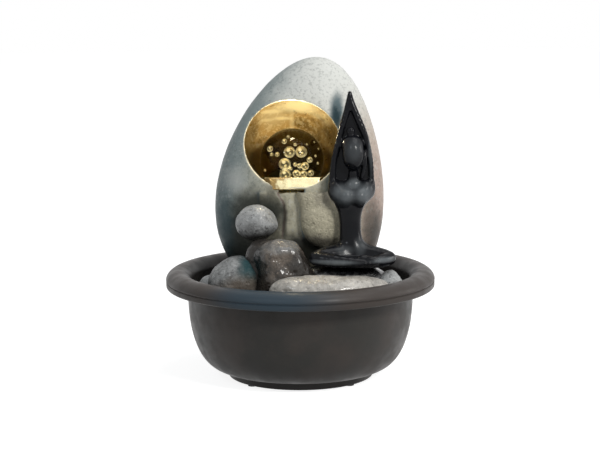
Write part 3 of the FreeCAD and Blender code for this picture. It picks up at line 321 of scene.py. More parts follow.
# ------------------------------------------------------------------ meshes
def surface(space, field):
    """Points and four-sided faces of a field's zero level: one point in each cell that the level crosses."""
    inside = field < 0
    first = inside[:-1, :-1, :-1]
    crossed = np.zeros(first.shape, bool)
    for i, j, k in CORNERS[1:]:
        crossed |= inside[i:i + first.shape[0], j:j + first.shape[1], k:k + first.shape[2]] != first
    cells = np.argwhere(crossed)
    number = np.full(crossed.shape, -1)
    number[crossed] = np.arange(len(cells))
    total, hits = np.zeros((len(cells), 3)), np.zeros(len(cells))
    for axis in range(3):
        for corner in CORNERS[CORNERS[:, axis] == 0]:
            start = cells + corner
            step = np.eye(3, dtype=int)[axis]
            a, b = field[tuple(start.T)], field[tuple((start + step).T)]
            cut = (a < 0) != (b < 0)
            total[cut] += corner + step * (a[cut] / (a[cut] - b[cut]))[:, None]
            hits[cut] += 1
    points = space.low + space.step * (cells + total / hits[:, None])
    faces = []
    for axis in range(3):
        u, v = (axis + 1) % 3, (axis + 2) % 3
        near = tuple(slice(0, -1) if i == axis else slice(1, -1) for i in range(3))
        far = tuple(slice(1, None) if i == axis else slice(1, -1) for i in range(3))
        edges = np.argwhere(inside[near] != inside[far])
        edges[:, [u, v]] += 1
        ring = []
        for du, dv in ((1, 1), (0, 1), (0, 0), (1, 0)):
            cell = edges.copy()
            cell[:, u] -= du
            cell[:, v] -= dv
            ring.append(number[tuple(cell.T)])
        ring = np.stack(ring, 1)
        inward = ~inside[tuple(edges.T)]
        ring[inward] = ring[inward, ::-1]
        faces.append(ring)
    return points, np.concatenate(faces)


def neighbour_pairs(faces):
    """The ends of every face's edges, both ways round."""
    a = np.concatenate([faces[:, i] for i in range(4)])
    b = np.concatenate([faces[:, (i + 1) % 4] for i in range(4)])
    return np.concatenate([a, b]), np.concatenate([b, a])


def relaxed(points, faces, rounds):
    """Evens out the points, as light sanding does."""
    here, there = neighbour_pairs(faces)
    count = np.bincount(here, minlength=len(points))[:, None]
    for _ in range(rounds):
        mean = np.stack([np.bincount(here, points[there, i], len(points)) for i in range(3)], 1) / count
        points = points + 0.5 * (mean - points)
    return points


def normals(points, faces):
    """Outward unit directions at the points."""
    across = np.cross(points[faces[:, 2]] - points[faces[:, 0]], points[faces[:, 3]] - points[faces[:, 1]])
    total = np.stack([sum(np.bincount(faces[:, j], across[:, i], len(points)) for j in range(4))
                      for i in range(3)], 1)
    return total / np.maximum(np.linalg.norm(total, axis=1), 1e-9)[:, None]


def add_mesh(name, points, faces, finish):
    """A smooth-shaded object from points in millimetres."""
    mesh = bpy.data.meshes.new(name)
    mesh.from_pydata((np.asarray(points) * MM).tolist(), [], [list(map(int, f)) for f in faces])
    mesh.shade_smooth()
    mesh.materials.append(finish)
    piece = bpy.data.objects.new(name, mesh)
    bpy.context.scene.collection.objects.link(piece)
    return piece


def sculpted(name, space, field, finish, rounds=2, relief=None):
    """An object from a distance field; relief gives how far each point moves out, from its place."""
    points, faces = surface(space, np.broadcast_to(field, space.shape))
    points = relaxed(points, faces, rounds)
    if relief:
        points = points + normals(points, faces) * relief(points)[:, None]
    return add_mesh(name, points, faces, finish)


def lathe(outline, segments):
    """Points and faces of a closed outline of (radius, z) turned about Z; its ends lie on the axis."""
    angles = np.linspace(0, 2 * math.pi, segments, endpoint=False)
    rings = outline[1:-1]
    points = [(r * math.cos(a), r * math.sin(a), z) for r, z in rings for a in angles]
    points += [(0, 0, outline[0][1]), (0, 0, outline[-1][1])]
    first, last = len(points) - 2, len(points) - 1
    faces = []
    for s in range(segments):
        t = (s + 1) % segments
        for k in range(len(rings) - 1):
            faces.append((k * segments + s, k * segments + t, (k + 1) * segments + t, (k + 1) * segments + s))
        end = (len(rings) - 1) * segments
        faces.append((first, t, s))
        faces.append((end + s, end + t, last))
    return points, faces


def arc(centre, half_r, half_z, start, end, steps):
    """Points of an elliptic arc in the (radius, z) plane, angles in degrees."""
    angles = np.radians(np.linspace(start, end, steps + 1))
    return [(centre[0] + half_r * math.cos(a), centre[1] + half_z * math.sin(a)) for a in angles]


def cut_away(piece, cutters):
    """Cuts closed meshes out of a piece and removes them."""
    for cutter in cutters:
        change = piece.modifiers.new("cut", "BOOLEAN")
        change.operation = "DIFFERENCE"
        change.solver = "EXACT"
        change.object = cutter
    bake(piece)
    for cutter in cutters:
        bpy.data.objects.remove(cutter)


def bake(piece):
    """Applies a piece's modifiers."""
    bpy.context.view_layer.update()
    finished = bpy.data.meshes.new_from_object(piece.evaluated_get(bpy.context.evaluated_depsgraph_get()))
    piece.modifiers.clear()
    piece.data = finished


def block(name, low, high, finish=None):
    """A closed box from its corners in millimetres."""
    points = [(x, y, z) for x in (low[0], high[0]) for y in (low[1], high[1]) for z in (low[2], high[2])]
    faces = [(0, 1, 3, 2), (4, 6, 7, 5), (0, 4, 5, 1), (2, 3, 7, 6), (0, 2, 6, 4), (1, 5, 7, 3)]
    piece = add_mesh(name, points, faces, finish)
    piece.data.shade_flat()
    return piece


# ------------------------------------------------------------------ finishes
class Nodes:
    """Adds and joins the nodes of one tree."""

    def __init__(self, tree):
        self.tree = tree

    def node(self, kind, settings=None, **inputs):
        """A node with its settings, and its inputs by name with _ for a space."""
        node = self.tree.nodes.new(kind)
        for key, value in (settings or {}).items():
            setattr(node, key, value)
        for key, value in inputs.items():
            self.feed(node.inputs[key.replace("_", " ")], value)
        return node

    def feed(self, socket, value):
        """Links an output to an input, or sets the input's own value."""
        if isinstance(value, bpy.types.NodeSocket):
            self.tree.links.new(value, socket)
        elif hasattr(value, "__len__") and len(value) == 3 and socket.type == "RGBA":
            socket.default_value = (*value, 1.0)
        else:
            socket.default_value = value

    def math(self, operation, a, b=0.0):
        node = self.node("ShaderNodeMath", {"operation": operation})
        self.feed(node.inputs[0], a)
        self.feed(node.inputs[1], b)
        return node.outputs[0]


class Finish(Nodes):
    """A procedural material around one Principled shader. Places are in the frame's own metres."""

    def __init__(self, name, **sockets):
        self.material = bpy.data.materials.new(name)
        self.material.use_nodes = True
        super().__init__(self.material.node_tree)
        self.shader = self.tree.nodes["Principled BSDF"]
        self.place = self.node("ShaderNodeTexCoord").outputs["Object"]
        for socket, value in sockets.items():
            self.set(socket.replace("_", " "), value)

    def set(self, socket, value):
        self.feed(self.shader.inputs[socket], value)

    def noise(self, size_mm, detail=4.0, roughness=0.55, distortion=0.0):
        """Cloudy noise from 0 to 1 with lumps of about the given size."""
        node = self.node("ShaderNodeTexNoise", Vector=self.place, Scale=1 / MM / size_mm, Detail=detail,
                         Roughness=roughness, Distortion=distortion)
        return node.outputs["Fac"]

    def cells(self, size_mm):
        """Distance to the nearest of points that lie about the given size apart."""
        return self.node("ShaderNodeTexVoronoi", Vector=self.place, Scale=1 / MM / size_mm).outputs["Distance"]

    def waves(self, size_mm, direction):
        """Even waves from 0 to 1; at a scale of 1 there are 20 of them in a metre."""
        node = self.node("ShaderNodeTexWave", {"bands_direction": direction}, Vector=self.place,
                         Scale=1 / MM / size_mm / 20)
        return node.outputs["Fac"]

    def stretch(self, low, high, value, to_low=0.0, to_high=1.0):
        """Maps a value smoothly from one range to another, and holds the ends."""
        node = self.node("ShaderNodeMapRange", {"interpolation_type": "SMOOTHSTEP"}, Value=value, From_Min=low,
                         From_Max=high, To_Min=to_low, To_Max=to_high)
        return node.outputs["Result"]

    def mix(self, share, a, b):
        node = self.node("ShaderNodeMix", {"data_type": "RGBA"})
        self.feed(node.inputs[0], share)
        self.feed(node.inputs[6], a)
        self.feed(node.inputs[7], b)
        return node.outputs[2]

    def vector_math(self, operation, a, b=None, output="Vector"):
        node = self.node("ShaderNodeVectorMath", {"operation": operation})
        self.feed(node.inputs[0], a)
        if b is not None:
            self.feed(node.inputs[1], b)
        return node.outputs[output]

    def axis(self, name, vector=None):
        """One coordinate of the place, or of another vector."""
        return self.node("ShaderNodeSeparateXYZ", Vector=vector or self.place).outputs[name]

    def normal(self):
        return self.node("ShaderNodeNewGeometry").outputs["Normal"]

    def patch(self, centre, half, soft, ragged=0.0, size_mm=14.0):
        """1 inside an ellipsoid about a place in mm, fading out over a share of its size; ragged makes it uneven."""
        away = self.vector_math("SUBTRACT", self.place, [c * MM for c in centre])
        reach = self.vector_math("LENGTH", self.vector_math("DIVIDE", away, [h * MM for h in half]), output="Value")
        if ragged:
            uneven = self.math("MULTIPLY", self.math("SUBTRACT", self.noise(size_mm), 0.5), ragged * 2)
            reach = self.math("ADD", reach, uneven)
        return self.stretch(1.0 - soft, 1.0 + soft, reach, 1.0, 0.0)

    def over(self, colour, tone, amount, most):
        """Lays a tone over a colour by an amount from 0 to 1, at most so strongly."""
        return self.mix(self.math("MULTIPLY", amount, most), colour, tone)

    def daub(self, colour, tone, most, *patch):
        """Lays a tone over a colour inside a patch, at most so strongly."""
        return self.over(colour, tone, self.patch(*patch), most)

    def uneven_gloss(self, size_mm, least, most, detail=4.0):
        """A roughness that wanders between two values."""
        self.set("Roughness", self.stretch(0.3, 0.7, self.noise(size_mm, detail), least, most))

    def bump(self, height, depth_mm, strength=1.0):
        node = self.node("ShaderNodeBump", Height=height, Strength=strength, Distance=depth_mm * MM)
        if self.shader.inputs["Normal"].is_linked:
            self.feed(node.inputs["Normal"], self.shader.inputs["Normal"].links[0].from_socket)
        self.set("Normal", node.outputs["Normal"])


def plastic(name, colour, roughness, grain_mm=0.6, depth_mm=0.02, **sockets):
    """Moulded plastic or rubber: a fine grain, and slightly uneven gloss and tone."""
    finish = Finish(name, **sockets)
    tone = finish.stretch(0.35, 0.65, finish.noise(18.0))
    finish.set("Base Color", finish.mix(tone, toned(colour, 0.86), toned(colour, 1.1)))
    finish.uneven_gloss(9.0, roughness * 0.85, min(1.0, roughness * 1.15))
    finish.bump(finish.noise(grain_mm, 2.0), depth_mm)
    return finish.material


def bowl_finish(s):
    """Satin dark plastic: a painted bluish highlight on the rim's front, brownish round the rest of it, painted light
    and shade across the belly, darker inside, and painted shade at the foot.
    """
    finish = Finish("bowl_plastic", Specular_IOR_Level=0.2)
    # Painted light and shade: the belly darker at the left and lighter at the right.
    side = finish.stretch(-0.09, 0.08, finish.axis("X"))
    belly = finish.mix(side, toned(s.colour, 0.78), toned(s.colour, 1.12))
    belly = finish.mix(finish.stretch(0.4, 0.7, finish.noise(40.0)), belly, s.warm)
    rim = finish.stretch(0.069, 0.073, finish.axis("Z"))
    # Painted highlight: a bluish patch on the rim's front.
    cool = finish.patch((-26, -98, 80), (42, 26, 16), 0.6)
    tone = finish.mix(cool, s.warm, s.cool)
    colour = finish.mix(rim, belly, tone)
    level = finish.vector_math("MULTIPLY", finish.place, (1, 1, 0))
    outward = finish.vector_math("DOT_PRODUCT", level, finish.normal(), "Value")
    colour = finish.over(colour, toned(s.colour, 0.25), finish.stretch(-0.01, -0.05, outward), 0.8)    # inside
    # Painted shade: darker towards the foot.
    low = finish.stretch(0.03, 0.004, finish.axis("Z"))
    finish.set("Base Color", finish.over(colour, toned(s.warm, 0.3), low, 0.7))
    finish.set("Roughness", finish.stretch(0.35, 0.65, finish.noise(12.0), 0.36, 0.5))
    finish.bump(finish.noise(0.9, 3.0), 0.03, 0.6)
    return finish.material


def egg_finish(s):
    """Speckled cast stone: light on top, olive in the lower front, cool and darker at the left and warm and darker at
    the lower right as painted shade, and dark wash, partly painted shade, in the hollows and beside the stones and
    the figure.
    """
    finish = Finish("egg_stone", Specular_IOR_Level=0.2)
    z = finish.axis("Z")
    uneven = finish.math("MULTIPLY", finish.math("SUBTRACT", finish.noise(30.0), 0.5), 0.5)
    side = finish.math("ADD", finish.axis("X", finish.normal()), uneven)
    colour = finish.mix(finish.stretch(0.14, 0.235, z), s.olive, s.light)
    # Painted shade: cool and darker where the surface faces left.
    colour = finish.mix(finish.stretch(-0.05, -0.75, side), colour, s.cool)
    # Painted shade: a warm darker tint where the surface faces right, low down.
    blush_and_shade = finish.math("MULTIPLY", finish.stretch(0.2, 0.7, side), finish.stretch(0.23, 0.16, z))
    colour = finish.mix(blush_and_shade, colour, s.blush_and_shade)
    speckle = finish.stretch(0.5, 0.64, finish.noise(2.4, 3.0, 0.7))
    colour = finish.over(colour, toned(s.cool, 0.3), speckle, 0.32)
    flecks = finish.stretch(0.52, 0.66, finish.noise(3.1, 3.0, 0.75, distortion=0.4))
    colour = finish.over(colour, s.light, flecks, 0.3)
    # Painted shade, partly stain: dark patches in the crease, at the foot of the stone and beside the stones and the
    # figure, a cool painted shade at the upper left, and one lighter patch at the left.
    washes_and_painted_shade = (    # centre, half sizes, softness, strength, colour
        ((-34, -8, 127), (24, 40, 20), 0.4, 0.93, s.dark_wash),
        ((-54, 0, 98), (22, 40, 27), 0.5, 0.95, s.dark_wash),
        ((-20, -8, 138), (6, 40, 16), 0.6, 0.5, s.dark_wash),
        ((-12.2, -9, 124), (2.2, 40, 15), 0.6, 0.8, s.dark_wash),
        ((10, -9, 101), (38, 40, 13), 0.45, 0.98, s.black_wash),
        ((56, -4, 116), (7, 40, 26), 0.5, 0.6, s.dark_wash),
        ((29, -4, 208), (5, 40, 13), 0.5, 0.95, s.teal_wash_and_shade),
        ((25, -8, 188), (5, 40, 12), 0.5, 0.8, s.teal_wash_and_shade),
        ((-63, 0, 116), (10, 40, 26), 0.6, 0.6, s.teal_wash_and_shade),
        ((25, -8, 140), (6, 40, 34), 0.5, 0.6, s.teal_wash_and_shade),
        ((-42, 0, 206), (18, 60, 22), 0.7, 0.7, s.cool),
        ((-50, -4, 155), (8, 40, 9), 0.7, 0.5, s.light),
        ((64, -4, 108), (12, 40, 18), 0.6, 0.75, s.dark_wash),
    )
    for centre, half, soft, most, tone in washes_and_painted_shade:
        colour = finish.daub(colour, tone, most, centre, half, soft, 0.3, 9.0)
    finish.set("Base Color", finish.mix(mouth_line_and_highlight(finish), colour, s.cream_and_highlight))
    finish.uneven_gloss(6.0, 0.34, 0.52)
    finish.bump(finish.noise(1.6, 5.0, 0.65), 0.16, 0.6)
    return finish.material


def mouth_line_and_highlight(finish):
    """1 on a narrow line round the niche's mouth, on the stone's front only: partly the paint's edge, partly a
    painted highlight.
    """
    centre_x, centre_z, half_w, half_h = [value * MM for value in MOUTH_EDGE]
    x = finish.math("DIVIDE", finish.math("SUBTRACT", finish.axis("X"), centre_x), half_w)
    z = finish.math("DIVIDE", finish.math("SUBTRACT", finish.axis("Z"), centre_z), half_h)
    reach = finish.math("SQRT", finish.math("ADD", finish.math("MULTIPLY", x, x), finish.math("MULTIPLY", z, z)))
    band = finish.stretch(1.005, 1.035, reach, 0.85, 0.0)
    return finish.math("MULTIPLY", band, finish.stretch(0.03, 0.01, finish.axis("Y")))


def gold_finish(s):
    """Polished gilding with brushed bronze streaks: painted highlights near the top, and painted shade at the sides
    and low down, where the ball shades it.
    """
    finish = Finish("gilding", Metallic=0.35)
    streak = finish.noise(26.0, 5.0, 0.6, distortion=1.6)
    tone = finish.mix(finish.stretch(0.42, 0.66, streak), s.gold, s.bronze)
    tone = finish.over(tone, s.pale, finish.stretch(0.5, 0.62, finish.noise(3.5, 3.0, 0.6, distortion=1.0)), 0.3)
    painted_highlights = (    # centre, half sizes, strength: painted highlights near the top and down a ridge, on whatever lies behind the mouth
        ((-2, 0, 208.5), (14, 200, 5), 1.0), ((8, 0, 205), (8, 200, 2.8), 0.6), ((16.5, 0, 201), (7, 200, 2.6), 0.5),
        ((22, 0, 196), (4.5, 200, 3), 0.3), ((-20, 0, 200), (11, 200, 8), 0.4), ((-23, 0, 204), (8, 200, 1.6), 0.7),
        ((-14, 0, 198), (7, 200, 1.4), 0.6), ((-26, 0, 197), (4, 200, 1.4), 0.5),
        ((-6, 0, 194), (1.8, 200, 11), 0.35),
    )
    for centre, half, most in painted_highlights:
        tone = finish.daub(tone, s.pale, most, centre, half, 0.6, 0.25, 8.0)
    # Painted shade at the niche's left and right sides.
    for centre, half, most in (((-41, 0, 186), (8, 200, 22), 0.6), ((22, 0, 186), (13, 200, 11), 0.6),
                               ((30, 0, 190), (7, 200, 16), 0.5)):
        tone = finish.daub(tone, s.shade, most, centre, half, 0.6, 0.2, 12.0)
    # Painted shade low in the niche, from the ball's top downwards.
    finish.set("Base Color", finish.over(tone, s.shade, finish.stretch(0.19, 0.167, finish.axis("Z")), 0.95))
    finish.uneven_gloss(7.0, 0.26, 0.42)
    finish.bump(finish.noise(10.0, 3.0), 0.35, 0.5)
    finish.bump(finish.noise(1.2, 3.0), 0.03, 0.4)
    return finish.material


def lip_finish(s):
    """Bright polished gilding on the lip, palest at the right, and darker bronze on its side facets as painted shade.
    """
    finish = Finish("gilded_lip", Metallic=0.8)
    across = finish.stretch(-0.018, 0.002, finish.axis("X"))
    pale = toned(s.pale, 0.86)
    tone = finish.mix(finish.stretch(0.4, 0.6, finish.noise(7.0)), toned(s.gold, 0.7), pale)
    tone = finish.mix(across, tone, pale)
    # Painted shade: darker bronze where the surface faces left or right.
    facet = finish.stretch(0.25, 0.5, finish.math("ABSOLUTE", finish.axis("X", finish.normal())))
    finish.set("Base Color", finish.mix(facet, tone, toned(s.bronze, 0.6)))
    finish.uneven_gloss(5.0, 0.2, 0.34)
    finish.bump(finish.noise(6.0, 3.0), 0.3, 0.5)
    return finish.material


def stone_finish(name, low, high, gloss, pits_mm, tone_patches=(), coat=0.0, pitted=0.5, shine=0.5):
    """Pitted stone between two tones.

    gloss is the least roughness, coat how wet it is, pitted how dark the pits are, and shine the specular level.
    The list of patches holds other tones, as (centre, half sizes, tone, strength); several of them are painted shade,
    under and beside other pieces.
    """
    finish = Finish(name, Coat_Weight=coat, Coat_Roughness=0.06, Specular_IOR_Level=shine)
    colour = finish.mix(finish.stretch(0.36, 0.66, finish.noise(11.0, 6.0, 0.65)), low, high)
    pits, flecks = finish.noise(3.0, 4.0, 0.75), finish.noise(2.6, 4.0, 0.75)
    colour = finish.over(colour, toned(low, 0.18), finish.stretch(0.52, 0.66, pits), pitted)
    colour = finish.over(colour, toned(high, 1.8), finish.stretch(0.53, 0.68, flecks), 0.5)
    for centre, half, tone, most in tone_patches:
        colour = finish.daub(colour, tone, most, centre, half, 0.45, 0.35, 7.0)
    finish.set("Base Color", colour)
    finish.uneven_gloss(4.0, gloss, gloss + 0.28)
    finish.bump(finish.noise(pits_mm, 6.0, 0.7), 0.6, 0.8)
    finish.bump(finish.stretch(0.0, 0.5, finish.cells(pits_mm * 1.8)), 0.4, 0.7)
    return finish.material


def glaze_finish(s):
    """Glossy black glaze, with greyer painted highlights on the chest, head, hair, legs and hips, and a painted
    reflection below the shin's ridge.
    """
    finish = Finish("figure_glaze", Specular_IOR_Level=0.13)
    colour = finish.mix(finish.noise(14.0), s.glaze, toned(s.glaze, 1.8))
    # Painted highlights, and a painted reflection of the slab below the left shin's ridge, in a grey glaze colour.
    painted_sheen = (    # centre from the seat, half sizes, strength
        ((-7, -6, 54), (8, 14, 7), 0.7), ((9, -6, 54), (7, 14, 7), 0.75), ((1, -6, 62), (5, 14, 3.5), 0.8),
        ((1, -5, 88), (6, 8, 8), 0.3), ((-17, -22, 5.0), (17, 12, 1.8), 0.9), ((24, -18, 6.0), (10, 12, 1.8), 0.75),
        ((-6, -10, 12), (6, 8, 3.0), 0.25), ((6, -8, 15), (4, 8, 6), 0.3), ((14, 4, 84), (1.5, 12, 16), 0.35),
    )
    for centre, half, most in painted_sheen:
        colour = finish.daub(colour, s.painted_sheen, most, SEAT + centre, half, 0.6, 0.2, 6.0)
    finish.set("Base Color", colour)
    finish.uneven_gloss(12.0, 0.17, 0.23, 1.0)
    finish.bump(finish.noise(12.0, 0.0), 0.1, 0.3)
    return finish.material


def glass_finish(name, colour, roughness, ior=1.5):
    """Clear glass or plastic, very slightly uneven in tone and gloss."""
    finish = Finish(name, Transmission_Weight=1.0, IOR=ior)
    finish.set("Base Color", finish.mix(finish.noise(20.0), toned(colour, 0.94), colour))
    finish.uneven_gloss(8.0, roughness, roughness + 0.02)
    return finish.material


def bubble_finish(s):
    """Air bubbles in the glass, glowing with painted light: pale glowing rims and undersides, dark hearts and a
    painted glint spot.
    """
    finish = Finish("bubble_glow", Transmission_Weight=1.0, IOR=0.8, Roughness=0.02, Emission_Color=s.glow)
    facing = finish.node("ShaderNodeLayerWeight", Blend=0.5).outputs["Facing"]
    uneven = finish.stretch(0.4, 0.62, finish.noise(2.6), 0.3, 1.0)
    # Painted light: emission on the rims and undersides, and a painted glint where the surface faces front and up.
    rim = finish.stretch(0.3, 0.75, facing, 0.0, 0.75)
    under = finish.stretch(0.1, -0.9, finish.axis("Z", finish.normal()), 0.0, 0.7)
    spot = finish.vector_math("DOT_PRODUCT", finish.normal(), (-0.2, -0.87, 0.45), "Value")
    lit = finish.math("MULTIPLY", finish.math("ADD", rim, under), uneven)
    painted_glint = finish.stretch(0.93, 0.98, spot, 0.06, 1.3)
    finish.set("Base Color", finish.mix(finish.noise(3.0), s.glow, toned(s.glow, 0.9)))
    finish.set("Emission Strength", finish.math("ADD", lit, painted_glint))
    return finish.material


def lined(name, colour, size_mm, direction, roughness, metallic=0.0):
    """Fine parallel lines: laminations or turns of wire."""
    finish = Finish(name, Metallic=metallic)
    lines = finish.waves(size_mm, direction)
    finish.set("Base Color", finish.mix(lines, toned(colour, 0.6), colour))
    finish.set("Roughness", finish.stretch(0.2, 0.8, finish.noise(5.0), roughness, roughness + 0.15))
    finish.bump(lines, 0.15)
    return finish.material


def dress(finish, *nodes):
    """Gives carried-over nodes of the frame a finish."""
    for name in nodes:
        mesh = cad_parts[name].data
        mesh.materials.clear()
        mesh.materials.append(finish)


def settings():
    """The values set in the sidebar."""
    return bpy.context.scene.fountain


# ------------------------------------------------------------------ stage
class FOUNTAIN_OT_stage(bpy.types.Operator):
    """Adds the floor, the light and the camera"""
    bl_idname = "fountain.stage"
    bl_label = "Stage"

    def execute(self, context):
        s = settings().stage
        self.add_camera(s)
        self.add_floor()
        self.add_world(s)
        aim = Vector((0, 0, 0.12))
        lights = (
            ("key_light", (0.85, -1.2, 1.05), 0.36, s.key, (1.0, 0.98, 0.95)),
            ("fill_light", (-0.7, -1.25, 1.1), 0.22, s.fill, (0.85, 0.93, 1.0)),
            ("top_light", (0.5, -0.15, 1.6), 1.1, s.top, (1.0, 1.0, 1.0)),
            ("edge_light", (1.5, 0.1, 0.5), 0.6, s.edge, (1.0, 0.97, 0.94)),
        )
        for name, place, size, power, colour in lights:
            self.add_light(name, Vector(place), aim, size, power, colour)
        self.add_niche_glow(s)
        context.scene.view_settings.view_transform = "Standard"
        return {"FINISHED"}

    def add_camera(self, s):
        camera = bpy.data.cameras.new("camera")
        camera.lens = s.lens
        camera.sensor_width = 36.0
        holder = self.hold("camera", camera)
        target = Vector((0, 0, s.target_height))
        back = Vector((0, -math.cos(s.elevation), math.sin(s.elevation)))
        turn = (-back).to_track_quat("-Z", "Y") @ Quaternion((0, 0, 1), s.roll)
        holder.matrix_world = Matrix.Translation(target + back * s.distance) @ turn.to_matrix().to_4x4()
        bpy.context.scene.camera = holder

    def hold(self, name, content):
        """An object for a camera or a lamp."""
        holder = bpy.data.objects.new(name, content)
        bpy.context.scene.collection.objects.link(holder)
        return holder

    def add_light(self, name, place, aim, size, power, colour):
        lamp = bpy.data.lights.new(name, "AREA")
        lamp.size, lamp.energy, lamp.color = size, power, colour
        turn = (aim - place).to_track_quat("-Z", "Y")
        self.hold(name, lamp).matrix_world = Matrix.Translation(place) @ turn.to_matrix().to_4x4()

    def add_niche_glow(self, s):
        """Warm light of the lamp under the ball, where it comes out over the ball."""
        lamp = bpy.data.lights.new("niche_glow", "POINT")
        lamp.energy, lamp.color, lamp.shadow_soft_size = s.glow, (1.0, 0.86, 0.6), 0.004
        self.hold("niche_glow", lamp).location = Vector(BALL_CENTRE + (0.0, -17.0, 34.0)) * MM

    def seen_directly(self, nodes):
        """1 for rays from the camera, and for those that gloss and glass show."""
        path = nodes.node("ShaderNodeLightPath").outputs
        seen = nodes.math("MAXIMUM", path["Is Camera Ray"], path["Is Glossy Ray"])
        return nodes.math("MAXIMUM", seen, path["Is Transmission Ray"])

    def add_floor(self):
        """A wide pale floor that keeps the fountain's shadow and shows as near white."""
        half, tone, lift_share = 4000, 0.42, 0.87
        floor = add_mesh("floor", [(-half, -half, 0), (half, -half, 0), (half, half, 0), (-half, half, 0)],
                         [(0, 1, 2, 3)], None)
        material = bpy.data.materials.new("floor")
        material.use_nodes = True
        nodes = Nodes(material.node_tree)
        nodes.tree.nodes.clear()
        paint = nodes.node("ShaderNodeBsdfDiffuse", Color=(tone, tone, tone))
        lift = nodes.math("MULTIPLY", self.seen_directly(nodes), lift_share)
        glow = nodes.node("ShaderNodeEmission", Strength=lift)
        both = nodes.node("ShaderNodeAddShader")
        nodes.feed(both.inputs[0], paint.outputs[0])
        nodes.feed(both.inputs[1], glow.outputs[0])
        nodes.node("ShaderNodeOutputMaterial", Surface=both.outputs[0])
        floor.data.materials[0] = material

    def add_world(self, s):
        """White all round where it is seen, and dimmer where it lights."""
        world = bpy.data.worlds.new("studio")
        world.use_nodes = True
        bpy.context.scene.world = world
        nodes = Nodes(world.node_tree)
        background = nodes.tree.nodes["Background"]
        nodes.feed(background.inputs["Color"], (1, 1, 1))
        level = nodes.node("ShaderNodeMapRange", Value=self.seen_directly(nodes), To_Min=s.ambient, To_Max=1.0)
        nodes.feed(background.inputs["Strength"], level.outputs["Result"])


